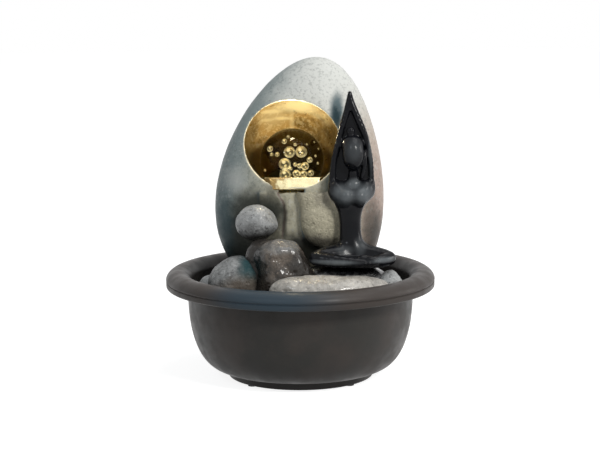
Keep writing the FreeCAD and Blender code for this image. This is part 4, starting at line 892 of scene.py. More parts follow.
# ------------------------------------------------------------------ bowl
class FOUNTAIN_OT_bowl(bpy.types.Operator):
    """Turns the bowl with its rolled rim, foot ring, ribs and cable slot"""
    bl_idname = "fountain.bowl"
    bl_label = "Bowl"

    def execute(self, context):
        s = settings().bowl
        finish = bowl_finish(s)
        piece = add_mesh("bowl_shell", *lathe(self.outline(s), 320), finish)
        half = s.slot_width / MM / 2
        slot_low = (-half, self.neck_r() - 3 * s.wall / MM, cad_box("bowl_rim")[0][2])
        slot = block("slot", slot_low, (half, 200, 200), finish)
        cut_away(piece, [slot])
        piece.data.set_sharp_from_angle(angle=math.radians(38))
        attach(piece, "bowl")
        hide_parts("bowl", "bowl_rim")
        for index in range(4):
            self.add_rib(s, index, finish)
        return {"FINISHED"}

    def neck_r(self):
        """Outside radius of the bowl's neck, under the rim."""
        return cad_box("bowl")[1][0]

    def outline(self, s):
        """The bowl's section from the axis under the floor, round the outside and over the rim, to the floor."""
        wall, foot_h = s.wall / MM, s.foot_height / MM
        low, high = cad_box("bowl")
        rim_high = cad_box("bowl_rim")[1]
        neck_r, neck_z, crest_z, rim_r = high[0], high[2], rim_high[2], rim_high[0]
        foot_r, foot_z = FOOT_RADIUS, low[2] + foot_h
        belly_r = foot_r + 1.5
        inner_foot = foot_r - s.foot_width / MM
        floor_z = foot_z + 2.5
        crest_r = neck_r + 7.0
        edge_z = crest_z - 11.6
        groove = s.groove / MM
        shoulder_z = crest_z - (crest_r - neck_r + wall) * 0.86
        # under the floor, and the foot ring
        outline = [(0, floor_z - wall), (inner_foot - 1.0, floor_z - wall), (inner_foot, floor_z - wall - 1.0),
                   (inner_foot, low[2] + 0.6), (inner_foot + 0.6, low[2]), (foot_r - 1.4, low[2])]
        outline += arc((foot_r - 1.4, low[2] + 1.4), 1.4, 1.4, -80, 0, 5)
        outline += [(foot_r, foot_z - 1.0), (foot_r + 0.3, foot_z - 0.3), (belly_r - 0.5, foot_z)]
        # the outside up to the neck, then the underside of the turned rim and its skirt's lower edge
        outline += self.belly(belly_r, foot_z, neck_r, neck_z, 0.0)
        outline += [(neck_r, shoulder_z - 1.5)]
        outline += arc((crest_r, shoulder_z), crest_r - neck_r, crest_z - wall - shoulder_z, 180, 90, 10)
        outline += arc((crest_r, edge_z), rim_r - wall - crest_r, crest_z - wall - edge_z, 90, 0, 10)[1:]
        outline += arc((rim_r - 0.2 - wall / 2, edge_z), wall / 2, wall / 2, 180, 360, 8)[1:]
        # the skirt with its fine groove, over the crest, and down the inside
        groove_z = edge_z + 3.2
        outline += [(rim_r - 0.15, groove_z - 1.0), (rim_r - 0.2, groove_z - 0.45), (rim_r - 0.2 - groove, groove_z),
                    (rim_r - 0.1 - groove, groove_z + 0.5)]
        outline += arc((crest_r, groove_z + 0.8), rim_r - crest_r, crest_z - groove_z - 0.8, 4, 90, 18)
        outline += arc((crest_r, shoulder_z), crest_r - neck_r + wall, crest_z - shoulder_z, 90, 180, 14)[1:]
        outline += [(r, z) for r, z in reversed(self.belly(belly_r, foot_z, neck_r, neck_z, wall))
                    if z > floor_z + 1.0]
        outline += [(inner_foot + 6.5, floor_z + 0.4), (inner_foot + 4.0, floor_z), (0, floor_z)]
        return outline

    def belly(self, start_r, start_z, end_r, end_z, inward):
        """The belly's superellipse quarter, moved inward by a distance."""
        fullness = 2.35    # 2 is an ellipse
        power = 2 / fullness
        points = []
        for angle in np.radians(np.linspace(3, 90, 34)):
            r = start_r + (end_r - start_r) * math.sin(angle) ** power
            z = end_z - (end_z - start_z) * max(math.cos(angle), 0.0) ** power
            out = Vector((math.sin(angle), 0, -math.cos(angle)))
            points.append((r - inward * out.x, z - inward * out.z))
        return points

    def add_rib(self, s, index, finish):
        """One moulded rib, from the belly's wall up to the tray."""
        inner = self.neck_r() - s.wall / MM - s.rib_reach / MM
        tray_z = cad_box("rock_tray")[0][2]
        half = s.rib_width / MM / 2
        profile = [(inner, 24.0), (inner, tray_z), (85.6, tray_z), (84.4, 44.0), (80.0, 24.0), (74.0, 16.5)]
        points = [(r, side * half, z) for side in (-1, 1) for r, z in profile]
        count = len(profile)
        faces = [tuple(range(count)), tuple(range(2 * count - 1, count - 1, -1))]
        faces += [(i, i + count, (i + 1) % count + count, (i + 1) % count) for i in range(count)]
        rib = add_mesh(f"bowl_rib_{index + 1}", points, faces, finish)
        rib.data.transform(Matrix.Rotation(math.radians(90 * index + 45), 4, "Z"))
        edge = rib.modifiers.new("edge", "BEVEL")
        edge.width, edge.segments = 0.8 * MM, 3
        bake(rib)
        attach(rib, "bowl")


class FOUNTAIN_OT_bowl_fittings(bpy.types.Operator):
    """Finishes the foam pads and the grommet"""
    bl_idname = "fountain.bowl_fittings"
    bl_label = "Pads and Grommet"

    def execute(self, context):
        dress(plastic("foam", (0.03, 0.03, 0.03), 0.95, 0.8, 0.1), "foot_pads")
        dress(plastic("soft_rubber", (0.035, 0.035, 0.035), 0.7, 0.4, 0.02), "cable_grommet", "pump_cable_gland",
              "lamp_cable_gland", "nozzle_gasket", "suction_cups")
        return {"FINISHED"}


# ------------------------------------------------------------------ pump and water path
class FOUNTAIN_OT_pump(bpy.types.Operator):
    """Finishes the pump's pieces"""
    bl_idname = "fountain.pump"
    bl_label = "Pump"

    def execute(self, context):
        dress(plastic("pump_plastic", (0.022, 0.022, 0.026), 0.45, 0.5, 0.03), "pump_housing", "volute_cover",
              "intake_cover", "flow_dial", "impeller_wheel")
        dress(lined("laminated_steel", (0.4, 0.4, 0.41), 0.5, "Z", 0.35, 1.0), "stator_core")
        dress(lined("copper_winding", (0.5, 0.17, 0.06), 0.4, "X", 0.3, 1.0), "stator_coil")
        dress(plastic("potting_resin", (0.018, 0.018, 0.02), 0.15, 3.0, 0.05), "pump_potting")
        dress(plastic("shaft_ceramic", (0.75, 0.74, 0.7), 0.25, 0.4, 0.01), "impeller_shaft")
        dress(plastic("bush_rubber", (0.1, 0.1, 0.1), 0.7), "shaft_bushes")
        dress(plastic("ferrite", (0.05, 0.05, 0.055), 0.4, 0.3, 0.02), "rotor_magnet")
        dress(plastic("filter_sponge", (0.03, 0.03, 0.035), 0.95, 1.2, 0.9), "intake_filter")
        return {"FINISHED"}


class FOUNTAIN_OT_water_path(bpy.types.Operator):
    """Finishes the tray, the hose and the nozzle"""
    bl_idname = "fountain.water_path"
    bl_label = "Tray, Hose and Nozzle"

    def execute(self, context):
        dress(stone_finish("tray_resin", srgb("2b2a27"), srgb("3c3a35"), 0.4, 1.2), "rock_tray")
        dress(glass_finish("clear_hose", (0.85, 0.87, 0.86), 0.12, 1.4), "supply_hose")
        dress(plastic("nozzle_plastic", (0.7, 0.7, 0.67), 0.3), "water_nozzle", "nozzle_nut")
        return {"FINISHED"}


class FOUNTAIN_OT_lamp(bpy.types.Operator):
    """Finishes the lamp under the ball"""
    bl_idname = "fountain.lamp"
    bl_label = "Lamp"

    def execute(self, context):
        dress(plastic("lamp_plastic", (0.16, 0.13, 0.05), 0.3), "lamp_housing", "ball_seat")
        dress(plastic("circuit_board", (0.02, 0.12, 0.04), 0.3), "lamp_board")
        dress(plastic("lamp_resin", (0.9, 0.75, 0.4), 0.2, Emission_Color=(1.0, 0.8, 0.42), Emission_Strength=4.0),
              "lamps")
        dress(glass_finish("lamp_lens", (0.95, 0.93, 0.86), 0.1), "lamp_lens")
        return {"FINISHED"}


# ------------------------------------------------------------------ egg-shaped stone and niche
def egg_field(space, s):
    """The egg as a filled form: an ellipsoid that tapers upwards, leans and bows."""
    half_h, half_w, half_d = s.half_height / MM, s.half_width / MM, s.half_depth / MM
    rise = (space.z - (EGG_HIGH[2] - half_h)) / half_h
    taper = np.maximum(1 - EGG_TAPER[0] * rise + EGG_TAPER[1] * rise * rise, 0.3)
    centre_x = EGG_MIDDLE_X + EGG_LEAN * half_h * rise - EGG_BOW * (1 - rise * rise)
    x, y = space.x - centre_x, space.y - (EGG_HIGH[1] - half_d - 0.9)
    wide, deep = half_w * taper, half_d * taper
    level = (x / wide) ** 2 + (y / deep) ** 2 + rise * rise - 1
    slope = 2 * np.sqrt((x / wide ** 2) ** 2 + (y / deep ** 2) ** 2 + (rise / half_h) ** 2)
    return level / np.maximum(slope, 1e-5)


def niche_mouth():
    """The niche's mouth in mm, from the frame: centre and inner half sizes."""
    low, high = cad_box("gilt_niche")
    return {"x": (low[0] + high[0]) / 2, "z": high[2] - NICHE_WALL - NICHE_HALF_HEIGHT,
            "half_w": (high[0] - low[0]) / 2 - NICHE_WALL, "half_h": NICHE_HALF_HEIGHT, "back": high[1] - NICHE_WALL}


def niche_field(space, grow, depth):
    """The niche's hollow: a straight mouth that runs into a domed back, grown by a distance."""
    mouth = niche_mouth()
    half_w, half_h, deep = mouth["half_w"] + grow, mouth["half_h"] + grow, depth + grow
    x, z = space.x - mouth["x"], space.z - mouth["z"]
    y = np.maximum(space.y - (mouth["back"] - depth), 0)
    near = np.sqrt((x / half_w) ** 2 + (z / half_h) ** 2 + (y / deep) ** 2)
    slope = np.sqrt((x / half_w ** 2) ** 2 + (z / half_h ** 2) ** 2 + (y / deep ** 2) ** 2)
    return near * (near - 1) / np.maximum(slope, 1e-5)


def from_ball_axis(space):
    """Distance from the upright line through the ball's centre."""
    return np.sqrt((space.x - BALL_CENTRE[0]) ** 2 + (space.y - BALL_CENTRE[1]) ** 2)


def well_field(space, grow):
    """The round well under the ball."""
    low = cad_box("lamp_housing")[0][2]
    away = from_ball_axis(space)
    return np.maximum(away - (WELL_RADIUS + grow), np.maximum(low - grow - space.z, space.z - BALL_CENTRE[2]))


class FOUNTAIN_OT_egg(bpy.types.Operator):
    """Sculpts the egg-shaped stone with its niche, water channel and service hole"""
    bl_idname = "fountain.egg"
    bl_label = "Egg Stone"

    def execute(self, context):
        s = settings().egg
        finish = egg_finish(s)
        space = Space(EGG_LOW - 3, EGG_HIGH + 3, 0.9)
        egg = egg_field(space, s)
        shell = np.maximum(egg, -(egg + s.wall / MM))
        shell = common(shell, TRAY_TOP - space.z, 0.8)
        shell = carve(shell, self.mouth(space, egg), s.edge_round / MM)
        shell = carve(shell, well_field(space, NICHE_BED), 1.0)
        shell = union(shell, self.apron(space), 1.0)
        shell = carve(shell, self.channel(space), 2.0)
        cover_low, cover_high = cad_box("rear_cover")
        hole_r = (cover_high[0] - cover_low[0]) / 2 + 0.3
        hole_z = (cover_low[2] + cover_high[2]) / 2
        away = np.sqrt(space.x ** 2 + (space.z - hole_z) ** 2)
        shell = carve(shell, np.maximum(away - hole_r, 40.0 - space.y), 0.4)
        piece = sculpted("egg_stone", space, shell, finish, 2, self.relief)
        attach(piece, "scenery")
        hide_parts("egg_shell")
        dress(finish, "rear_cover")
        return {"FINISHED"}

    def mouth(self, space, egg):
        """The bed of the niche, narrowed to its edge where it comes out of the stone."""
        inner = np.clip(np.minimum(-egg - 1.6, space.y - CHANNEL_FACE - 2.2) / 1.2, 0, 1)
        x, z, half_w, half_h = MOUTH_EDGE
        edge = np.sqrt(((space.x - x) / half_w) ** 2 + ((space.z - z) / half_h) ** 2)
        edge = common((edge - 1) * half_h, LIP_FOOT[1] + 3.3 - space.z, 1.0)
        bed = niche_field(space, NICHE_BED, settings().niche.depth / MM)
        return common(bed, edge - 30 * inner, 0.3)

    def apron(self, space):
        """Stone behind the water channel, under the lip."""
        middle_z = 133
        slab = np.maximum(abs(space.x - BALL_CENTRE[0]) - 26, abs(space.y + 7.0) - 3.0)
        return np.maximum(slab, abs(space.z - middle_z) - (LIP_FOOT[1] - 2.0 - middle_z))

    def channel(self, space):
        """The tapering water channel below the lip, with a steep left bank."""
        left = np.interp(space.z.ravel(), *CHANNEL_LEFT)[None, None, :]
        right = np.interp(space.z.ravel(), *CHANNEL_RIGHT)[None, None, :]
        middle, half = (left + right) / 2, (right - left) / 2
        across = abs(space.x - middle) - half
        floor = CHANNEL_FACE + np.interp(space.z.ravel(), *CHANNEL_DEPTH)[None, None, :]
        return common(common(across, space.y - floor, 2.0), space.z - (LIP_FOOT[1] + 1.0), 1.0)

    def relief(self, points):
        """A slightly uneven cast surface, smooth round the niche's edge and the service hole."""
        front = np.clip((40 - points[:, 1]) / 20, 0, 1)
        return front * (0.25 * cloud(points, 16.0, 3) + 0.08 * cloud(points, 4.0, 4))


class FOUNTAIN_OT_niche(bpy.types.Operator):
    """Sculpts the gilded niche with its lip"""
    bl_idname = "fountain.niche"
    bl_label = "Gilded Niche"

    def execute(self, context):
        s, egg_s = settings().niche, settings().egg
        low, high = cad_box("gilt_niche")
        space = Space(low - 4, high + 3, 0.7)
        wall, depth = s.wall / MM, s.depth / MM
        hollow = niche_field(space, 0.0, depth)
        outer = union(niche_field(space, wall, depth), well_field(space, wall), 1.0)
        shape = carve(outer, hollow, 0.6)
        shape = carve(shape, well_field(space, 0.0), 0.8)
        shape = common(shape, egg_field(space, egg_s) + 1.8, 0.6)
        shape = carve(shape, common(space.y - CHANNEL_FACE - 3.4, space.z - LIP_FOOT[1] - 2.6, 0.3), 0.3)
        lip = common(self.lip(space), niche_field(space, 0.6, depth), 0.5)
        lip = common(lip, egg_field(space, egg_s) + 0.1, 0.5)
        ball = np.sqrt((space.x - BALL_CENTRE[0]) ** 2 + (space.y - BALL_CENTRE[1]) ** 2
                       + (space.z - BALL_CENTRE[2]) ** 2) - (BALL_RADIUS + 1.0)
        shape = carve(shape, ball, 0.8)
        lip = carve(lip, ball, 0.8)
        lip = carve(lip, well_field(space, 0.0), 0.5)
        bore = np.maximum(from_ball_axis(space) - 5.3, space.z - cad_box("nozzle_gasket")[1][2] - 4)
        shape = carve(shape, bore, 0.3)
        for name, field, finish, rounds in (("gilded_niche", shape, gold_finish(s), 3),
                                            ("gilded_lip", lip, lip_finish(s), 1)):
            piece = sculpted(name, space, field, finish, rounds)
            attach(piece, "scenery")
            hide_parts("gilt_niche")
        return {"FINISHED"}

    def lip(self, space):
        """The lip: a level crest in front of the ball, a slope down to the egg's front, and a facet at each side.

        Its bottom is cut back in front, so that it meets the stone's channel.
        """
        (crest_y, crest_z), (foot_y, foot_z) = LIP_CREST, LIP_FOOT
        block = np.maximum(space.y - (crest_y + 3.0), space.z - crest_z)
        slope = half_space(space, (0, crest_y, crest_z), (0, -(crest_z - foot_z), -(foot_y - crest_y)))
        block = common(common(block, slope, 0.6), foot_z + 0.4 - space.z, 0.3)
        block = carve(block, common(space.y - CHANNEL_FACE - 0.5, space.z - foot_z - 2.4, 0.2), 0.2)
        for x, normal in ((-17.5, (-0.5, -0.82, 0.1)), (13.0, (0.75, -0.65, 0.1))):
            block = common(block, half_space(space, (x, foot_y, foot_z), normal), 0.4)
        return block


class FOUNTAIN_OT_ball(bpy.types.Operator):
    """Adds the clear glass ball with its bubbles"""
    bl_idname = "fountain.ball"
    bl_label = "Glass Ball"

    BUBBLES = [   # right, forward and up from the ball's centre, and radius, in mm
        (-1.8, 12.0, 7.4, 4.2), (7.0, 12.0, 7.6, 4.3), (-5.2, 13.0, -1.4, 4.5), (-5.0, 12.0, -9.4, 4.2),
        (3.4, 14.0, -8.4, 2.9), (9.6, 12.0, -3.0, 3.0), (8.6, 12.0, -9.0, 2.8), (13.0, 10.0, 1.4, 2.2),
        (13.8, 9.0, -8.6, 2.4), (-5.6, 11.0, 15.6, 2.0), (-2.6, 10.0, 19.0, 1.4), (-16.2, 8.0, 9.6, 2.3),
        (-15.0, 10.0, 5.6, 1.3), (-10.8, 12.0, 5.8, 1.7), (2.6, 13.0, 13.4, 1.3), (11.4, 12.0, 13.4, 0.8),
        (17.5, 8.0, 4.0, 0.9), (2.4, 15.0, -1.4, 1.5), (5.6, 13.0, -2.6, 1.9), (-8.6, 12.0, -15.0, 1.6),
        (0.0, 12.0, -14.0, 1.8), (-20.0, 6.0, -6.6, 1.0), (17.2, 7.0, 14.6, 0.8), (19.0, 6.0, -1.6, 0.9),
        (-1.0, 14.0, -4.6, 1.3), (12.4, 10.0, -13.4, 2.0), (19.8, 5.0, 9.0, 0.7),
    ]

    def execute(self, context):
        s = settings().ball
        # the index is low, so that the bubbles show where they are
        glass = glass_finish("clear_glass", s.glass, 0.0, 1.13)
        ball = self.add_sphere("glass_ball_clear", BALL_CENTRE, BALL_RADIUS, 96, glass)
        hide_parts("glass_ball")
        glow = bubble_finish(s)
        for index, (right, forward, up, radius) in enumerate(self.BUBBLES):
            centre = BALL_CENTRE + (right, -forward, up)
            self.add_sphere(f"bubble_{index + 1:02d}", centre, radius, 32, glow)
        return {"FINISHED"}

    def add_sphere(self, name, centre, radius, segments, finish):
        """A sphere that rides on the ball's body."""
        outline = [(radius * math.sin(a), -radius * math.cos(a)) for a in np.linspace(0, math.pi, segments // 2 + 1)]
        outline[0], outline[-1] = (0, -radius), (0, radius)
        points, faces = lathe(outline, segments)
        piece = add_mesh(name, np.array(points) + centre, faces, finish)
        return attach(piece, "ball")


# ------------------------------------------------------------------ stones
class FOUNTAIN_OT_stones(bpy.types.Operator):
    """Sculpts the boulders, the slabs and the figure's plinth"""
    bl_idname = "fountain.stones"
    bl_label = "Stones"

    def execute(self, context):
        s = settings().stones
        # The near-black colour is painted shade; the pit and teal colours serve as painted shade in places too.
        pits, teal, painted_shade_black = srgb("1c1a18"), srgb("12363a"), srgb("0a0f10")
        # Painted shade: the dark band where the round stone's foot lies.
        grey = stone_finish("grey_stone", toned(s.grey, 0.8), toned(s.grey, 1.3), 0.4, 1.8, pitted=0.75, tone_patches=(
            ((-33, -30, 111), (20, 20, 5), s.dark, 0.8), ((-38, -30, 127), (10, 20, 7), pits, 0.55),
            ((-27, -30, 124), (6, 20, 4), pits, 0.4)))
        # Partly painted shade: the teal patch at the right end, beside the boulders; the brown and dark patches lie
        # along the foot.
        left = stone_finish("left_grey_stone", toned(s.grey, 0.4), toned(s.grey, 1.05), 0.34, 1.8, shine=0.2, tone_patches=(
            ((-36, -40, 94), (10, 26, 17), teal, 0.95), ((-42, -44, 76), (20, 26, 10), s.brown, 0.85),
            ((-62, -40, 70), (14, 26, 5), s.dark, 0.7)))
        # Painted shade: the near-black patch on the left facet and the pit-coloured ones at the lower front; the grey
        # one lies on top.
        wet = stone_finish("wet_stone", s.dark, s.brown, 0.18, 2.2, coat=0.35, shine=0.15, tone_patches=(
            ((-37, -40, 96), (9, 26, 26), painted_shade_black, 1.0), ((3, -50, 90), (12, 26, 16), pits, 0.85),
            ((-18, -54, 80), (20, 26, 7), pits, 0.7), ((-16, -50, 112), (20, 26, 6), s.grey, 0.4)))
        # Painted shade: the pit-coloured band at the foot; the smaller patch is pitting at the left.
        rounded = stone_finish(
            "round_stone_grey", toned(s.grey, 0.85), toned(s.grey, 1.2), 0.35, 1.8, coat=0.3, pitted=0.85, tone_patches=(
                ((-30, -20, 111), (26, 30, 6), pits, 0.95), ((-37, -34, 121), (7, 12, 5), pits, 0.5)))
        shaded = stone_finish("shaded_stone", toned(s.dark, 0.5), s.dark, 0.3, 2.2, coat=0.2, shine=0.15)
        pale = stone_finish("pale_stone", toned(s.pale, 0.5), toned(s.pale, 0.76), 0.2, 2.4, coat=0.4, tone_patches=(
            ((10, -72, 68), (40, 14, 4.5), s.brown, 0.45),))
        # Painted shade: the dark patches beside the figure and at the boulder's foot.
        olive = stone_finish("olive_stone", toned(s.olive, 0.85), toned(s.olive, 1.1), 0.42, 1.4, pitted=0.3, tone_patches=(
            ((20, -20, 143), (9, 12, 9), s.dark, 0.4), ((16, -20, 106), (18, 14, 8), s.dark, 0.8)))
        black = stone_finish("black_stone", toned(s.black, 0.5), s.black, 0.12, 3.0, coat=0.5)
        # name, node, centre, half sizes, turn, lean, flats as (outward direction, share of the half size), finish,
        # seed, roughness in mm
        self.add("boulder_middle", "middle_boulder", (-15.5, -41, 88), (24.5, 18, 29), -4, 0,
                 [((-0.86, -0.5, 0.05), 0.7), ((0.2, -0.95, 0.22), 0.8), ((0.1, -0.3, 0.95), 0.84),
                  ((0.85, -0.2, 0.5), 0.9), ((-0.5, -0.3, 0.8), 0.86)], wet, 11, 1.5, edge=3.0)
        self.add("boulder_shaded", "shaded_boulder", (-27.5, -30, 91), (17, 14, 24), 10, 0,
                 [((-0.7, -0.7, 0.1), 0.85), ((0.0, -0.2, 1.0), 0.93)], shaded, 12, 1.1)
        self.add("stone_round", "round_stone", (-33.0, -17.5, 123.4), (16.8, 13.5, 14.2), 0, 6,
                 [((0.5, -0.5, -0.7), 0.88), ((-0.6, -0.4, 0.6), 0.93), ((0.75, -0.3, 0.4), 0.92)], rounded, 13, 0.8)
        self.add("stone_left", "left_stone", (-48, -30, 80), (23, 17, 20.5), 6, -9,
                 [((-0.5, -0.4, 0.8), 0.86), ((0.3, -0.2, 0.93), 0.95)], left, 14, 0.9)
        self.add("stone_edge", "edge_stone", (-68, -12, 70), (11, 15, 12), 20, 0, [], grey, 15, 0.7)
        self.add("boulder_leaning", "leaning_boulder", (17.5, -12.6, 122.5), (17, 9, 20.5), 0, -16, [],
                 olive, 16, 0.7, more=((9.5, -11.0, 144.5), (12, 8.0, 11)))
        self.add("slab_front", "front_slab", (13.5, -60, 77.5), (37, 13.5, 13.5), 0, 1.5,
                 [((0.0, -0.35, 0.94), 0.9)], pale, 17, 0.8, more=((43, -53, 75.8), (27, 12, 12.6), 22), margin=34)
        self.add("slab_right", "right_slab", (68, -37, 77.0), (11, 9, 13), 38, 0,
                 [((-0.35, -0.4, 0.85), 0.9)], grey, 18, 1.0)
        self.add("plinth", "figure_plinth", (33, -30, 80), (36, 18, 15), 0, 0,
                 [((0.0, -0.1, 1.0), 0.95)], black, 19, 1.1)
        return {"FINISHED"}

    def add(self, name, node, centre, half, turn, lean, flats, finish, seed, rough, more=None, edge=5.0, margin=4):
        """One stone: an ellipsoid with worn flats, cut off level on the tray.

        more is a second ellipsoid run together with it, edge rounds the flats' edges, and margin is the room that the
        field leaves round the first ellipsoid.
        """
        reach = max(half) + margin
        low = [max(centre[i] - reach, CAD_BOX[0][i] / MM) for i in range(2)]
        space = Space([*low, TRAY_TOP - 2], [c + reach for c in centre], 0.7)
        field = ellipsoid(space, centre, half, turn, lean)
        if more:
            field = union(field, ellipsoid(space, *more), 8.0)
        for direction, share in flats:
            n = np.array(direction) / np.linalg.norm(direction)
            distance = math.sqrt(sum((h * c) ** 2 for h, c in zip(half, n))) * share
            field = common(field, half_space(space, np.array(centre) + n * distance, n), edge)
        field = common(field, TRAY_TOP + 0.1 - space.z, 1.0)

        def relief(points):
            broad = rough * (0.8 * cloud(points, 11.0, seed) + 0.4 * cloud(points, 5.0, seed + 50))
            pits = np.minimum(cloud(points, 2.6, seed + 90) + 0.35, 0) * 0.6 * rough
            level = np.clip((points[:, 2] - TRAY_TOP) / 3, 0, 1)
            return (broad + pits) * level

        piece = sculpted(name, space, field, finish, 2, relief)
        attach(piece, "scenery")
        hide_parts(node)


# ------------------------------------------------------------------ seated figure
class FOUNTAIN_OT_figure(bpy.types.Operator):
    """Sculpts the seated figure with raised hands"""
    bl_idname = "fountain.figure"
    bl_label = "Seated Figure"

    TORSO = [     # height over the seat, centre x, centre y, half width, half depth
        (1.0, 0.5, 0.0, 16.0, 9.5), (6.0, 0.6, 0.0, 13.8, 9.2), (10.6, 0.3, 0.2, 11.4, 8.8),
        (16.0, -0.4, 0.6, 9.5, 8.0), (22.0, -1.3, 1.2, 8.4, 7.2), (31.7, -1.6, 2.2, 8.2, 6.8),
        (39.4, -1.7, 2.6, 9.2, 6.8), (45.5, -1.6, 2.8, 11.8, 6.6), (52.5, -1.0, 3.4, 14.9, 6.2),
        (58.5, -0.4, 4.8, 15.8, 4.8), (63.0, -0.2, 5.8, 14.4, 3.4),
    ]
    # arms, legs, shins and hair: x, y and height over the seat, and radius
    LEFT_ARM = [(-13.8, 4.8, 55.0, 3.4), (-14.7, 5.2, 62.0, 2.8), (-14.7, 5.6, 69.0, 2.3), (-13.7, 6.8, 79.0, 2.2),
                (-10.9, 8.2, 90.5, 2.3), (-7.3, 9.8, 104.6, 2.2), (-4.1, 11.4, 115.0, 2.2), (-2.6, 12.6, 122.0, 2.0),
                (-1.5, 13.6, 129.8, 1.1)]
    RIGHT_ARM = [(13.4, 4.8, 54.0, 3.4), (14.4, 5.2, 60.5, 2.4), (15.0, 5.4, 67.0, 1.6), (14.6, 6.6, 77.0, 1.6),
                 (13.0, 7.4, 86.0, 1.9), (10.5, 8.6, 96.0, 2.2), (7.3, 9.8, 104.5, 2.5), (2.9, 11.4, 115.0, 2.4),
                 (0.4, 12.6, 122.0, 2.0), (-1.2, 13.6, 129.8, 1.1)]
    LEFT_LEG = [(-3.5, 0.0, 8.5, 7.8), (-17.0, -7.5, 8.2, 6.6), (-28.0, -13.0, 7.0, 5.2)]
    RIGHT_LEG = [(4.5, 0.0, 8.5, 7.8), (17.0, -4.0, 7.2, 6.2), (27.5, -8.0, 5.8, 5.2)]
    LEFT_SHIN = [(-28.2, -14.0, 6.6, 5.2), (-14.0, -18.8, 5.6, 4.8), (2.0, -21.0, 4.4, 3.6), (12.0, -21.2, 4.0, 2.9),
                 (18.0, -19.5, 4.6, 2.4)]
    RIGHT_SHIN = [(27.8, -9.0, 5.4, 5.0), (20.0, -15.5, 4.6, 4.6), (8.0, -17.8, 3.4, 3.4), (-4.0, -18.0, 2.8, 2.6)]
    HAIR = [(8.6, 6.0, 86.0, 1.6), (9.6, 4.8, 77.0, 1.5), (7.6, 3.6, 66.0, 1.2)]
    BACKING = [   # leaf-shaped sheet between the arms: height, centre x, centre y, half width, half depth
        (56.0, 0.0, 7.6, 13.4, 1.8), (67.0, 0.2, 8.4, 14.4, 1.8), (79.0, 0.4, 9.8, 13.4, 1.8),
        (91.0, 0.2, 11.2, 10.8, 1.8), (105.0, 0.0, 13.0, 6.6, 1.6), (116.0, -0.4, 14.0, 3.4, 1.2),
        (126.0, -1.2, 14.4, 1.2, 1.0),
    ]

    def execute(self, context):
        low, high = cad_box("seated_figure")
        space = Space(low - 3, high + 3, 0.55)
        space.x, space.y, space.z = space.x - SEAT[0], space.y - SEAT[1], space.z - SEAT[2]
        body = column(space, self.TORSO)
        for side in (-1, 1):    # chest and shoulders
            body = union(body, ellipsoid(space, (side * 5.4 + 0.4, -1.8, 52.0), (6.2, 6.0, 6.6)), 3.5)
            body = union(body, ellipsoid(space, (side * 11.6 - 0.8, 2.6, 56.5), (5.2, 5.8, 7.0)), 4.0)
        body = union(body, rod(space, (0.8, 5.0, 61.0), (0.8, 5.0, 74.0), 4.0, 3.2), 3.5)
        # head, hair and topknot
        head = ellipsoid(space, (0.8, 3.6, 84.0), (8.4, 8.4, 12.8))
        head = union(head, ellipsoid(space, (0.4, 6.4, 90.5), (8.6, 7.6, 8.0)), 1.5)
        head = union(head, ellipsoid(space, (-1.0, 7.2, 101.2), (3.2, 3.2, 3.4)), 1.6)
        head = union(head, limb(space, self.HAIR, 1.5), 1.0)
        body = union(body, head, 1.6)
        for arm in (self.LEFT_ARM, self.RIGHT_ARM):
            body = union(body, limb(space, arm, 1.0, 3), 2.0)
        body = union(body, column(space, self.BACKING), 1.0)
        body = union(body, ellipsoid(space, (1.0, -9.0, 3.5), (20.0, 10.0, 4.0)), 3.0)
        for leg in (self.LEFT_LEG, self.RIGHT_LEG):
            body = union(body, limb(space, leg, 2.0, 3), 4.0)
        for shin in (self.LEFT_SHIN, self.RIGHT_SHIN):
            body = union(body, limb(space, shin, 1.5, 3), 0.9)
        # feet and toes
        body = union(body, ellipsoid(space, (13.0, -20.5, 6.0), (7.5, 3.8, 3.2), -14, 8), 0.8)
        body = union(body, ellipsoid(space, (7.5, -19.5, 7.8), (4.6, 3.0, 2.4), 20, 0), 0.8)
        for x in (6.0, 9.0, 12.0, 15.0):
            body = union(body, ellipsoid(space, (x, -23.6 + abs(x - 10.5) * 0.2, 4.4), (1.7, 2.4, 1.9)), 0.4)
        body = common(body, -space.z - 1.5, 0.8)
        piece = sculpted("seated_figure_glazed", space, body, glaze_finish(settings().figure), 3)
        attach(piece, "scenery")
        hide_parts("seated_figure")
        dress(plastic("dowel_steel", (0.5, 0.5, 0.5), 0.3, Metallic=1.0), "figure_dowel")
        return {"FINISHED"}


# ------------------------------------------------------------------ panel, registration and the whole fountain
OPERATORS = (
    FOUNTAIN_OT_stage, FOUNTAIN_OT_bowl, FOUNTAIN_OT_bowl_fittings, FOUNTAIN_OT_pump, FOUNTAIN_OT_water_path,
    FOUNTAIN_OT_lamp, FOUNTAIN_OT_egg, FOUNTAIN_OT_niche, FOUNTAIN_OT_ball, FOUNTAIN_OT_stones,
    FOUNTAIN_OT_figure,
)


class FOUNTAIN_PT_panel(bpy.types.Panel):
    """Lists the fountain's settings and pieces"""
    bl_idname = "FOUNTAIN_PT_panel"
    bl_label = "Water Fountain"
    bl_space_type = "VIEW_3D"
    bl_region_type = "UI"
    bl_category = "Fountain"

    def draw(self, context):
        layout = self.layout
        for operator in OPERATORS:
            layout.operator(operator.bl_idname)
        for part in context.scene.fountain.bl_rna.properties:
            if part.type == "POINTER" and part.identifier != "rna_type":
                box = layout.box()
                box.label(text=part.identifier.capitalize())
                group = getattr(context.scene.fountain, part.identifier)
                for value in group.bl_rna.properties:
                    if value.identifier not in ("rna_type", "name"):
                        box.prop(group, value.identifier)


CLASSES = (
    BowlSettings, EggSettings, NicheSettings, BallSettings, StoneSettings, FigureSettings, StageSettings,
    FountainSettings, *OPERATORS, FOUNTAIN_PT_panel,
)


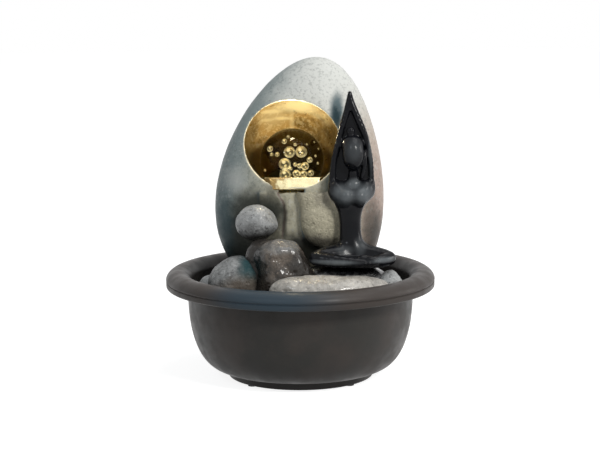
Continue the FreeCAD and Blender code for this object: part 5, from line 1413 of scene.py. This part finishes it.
def register():
    for cls in CLASSES:
        bpy.utils.register_class(cls)
    bpy.types.Scene.fountain = PointerProperty(type=FountainSettings)


def unregister():
    del bpy.types.Scene.fountain
    for cls in reversed(CLASSES):
        bpy.utils.unregister_class(cls)


def main():
    register()
    for operator in OPERATORS:
        group, name = operator.bl_idname.split(".")
        getattr(getattr(bpy.ops, group), name)()


if __name__ == "__main__":
    main()
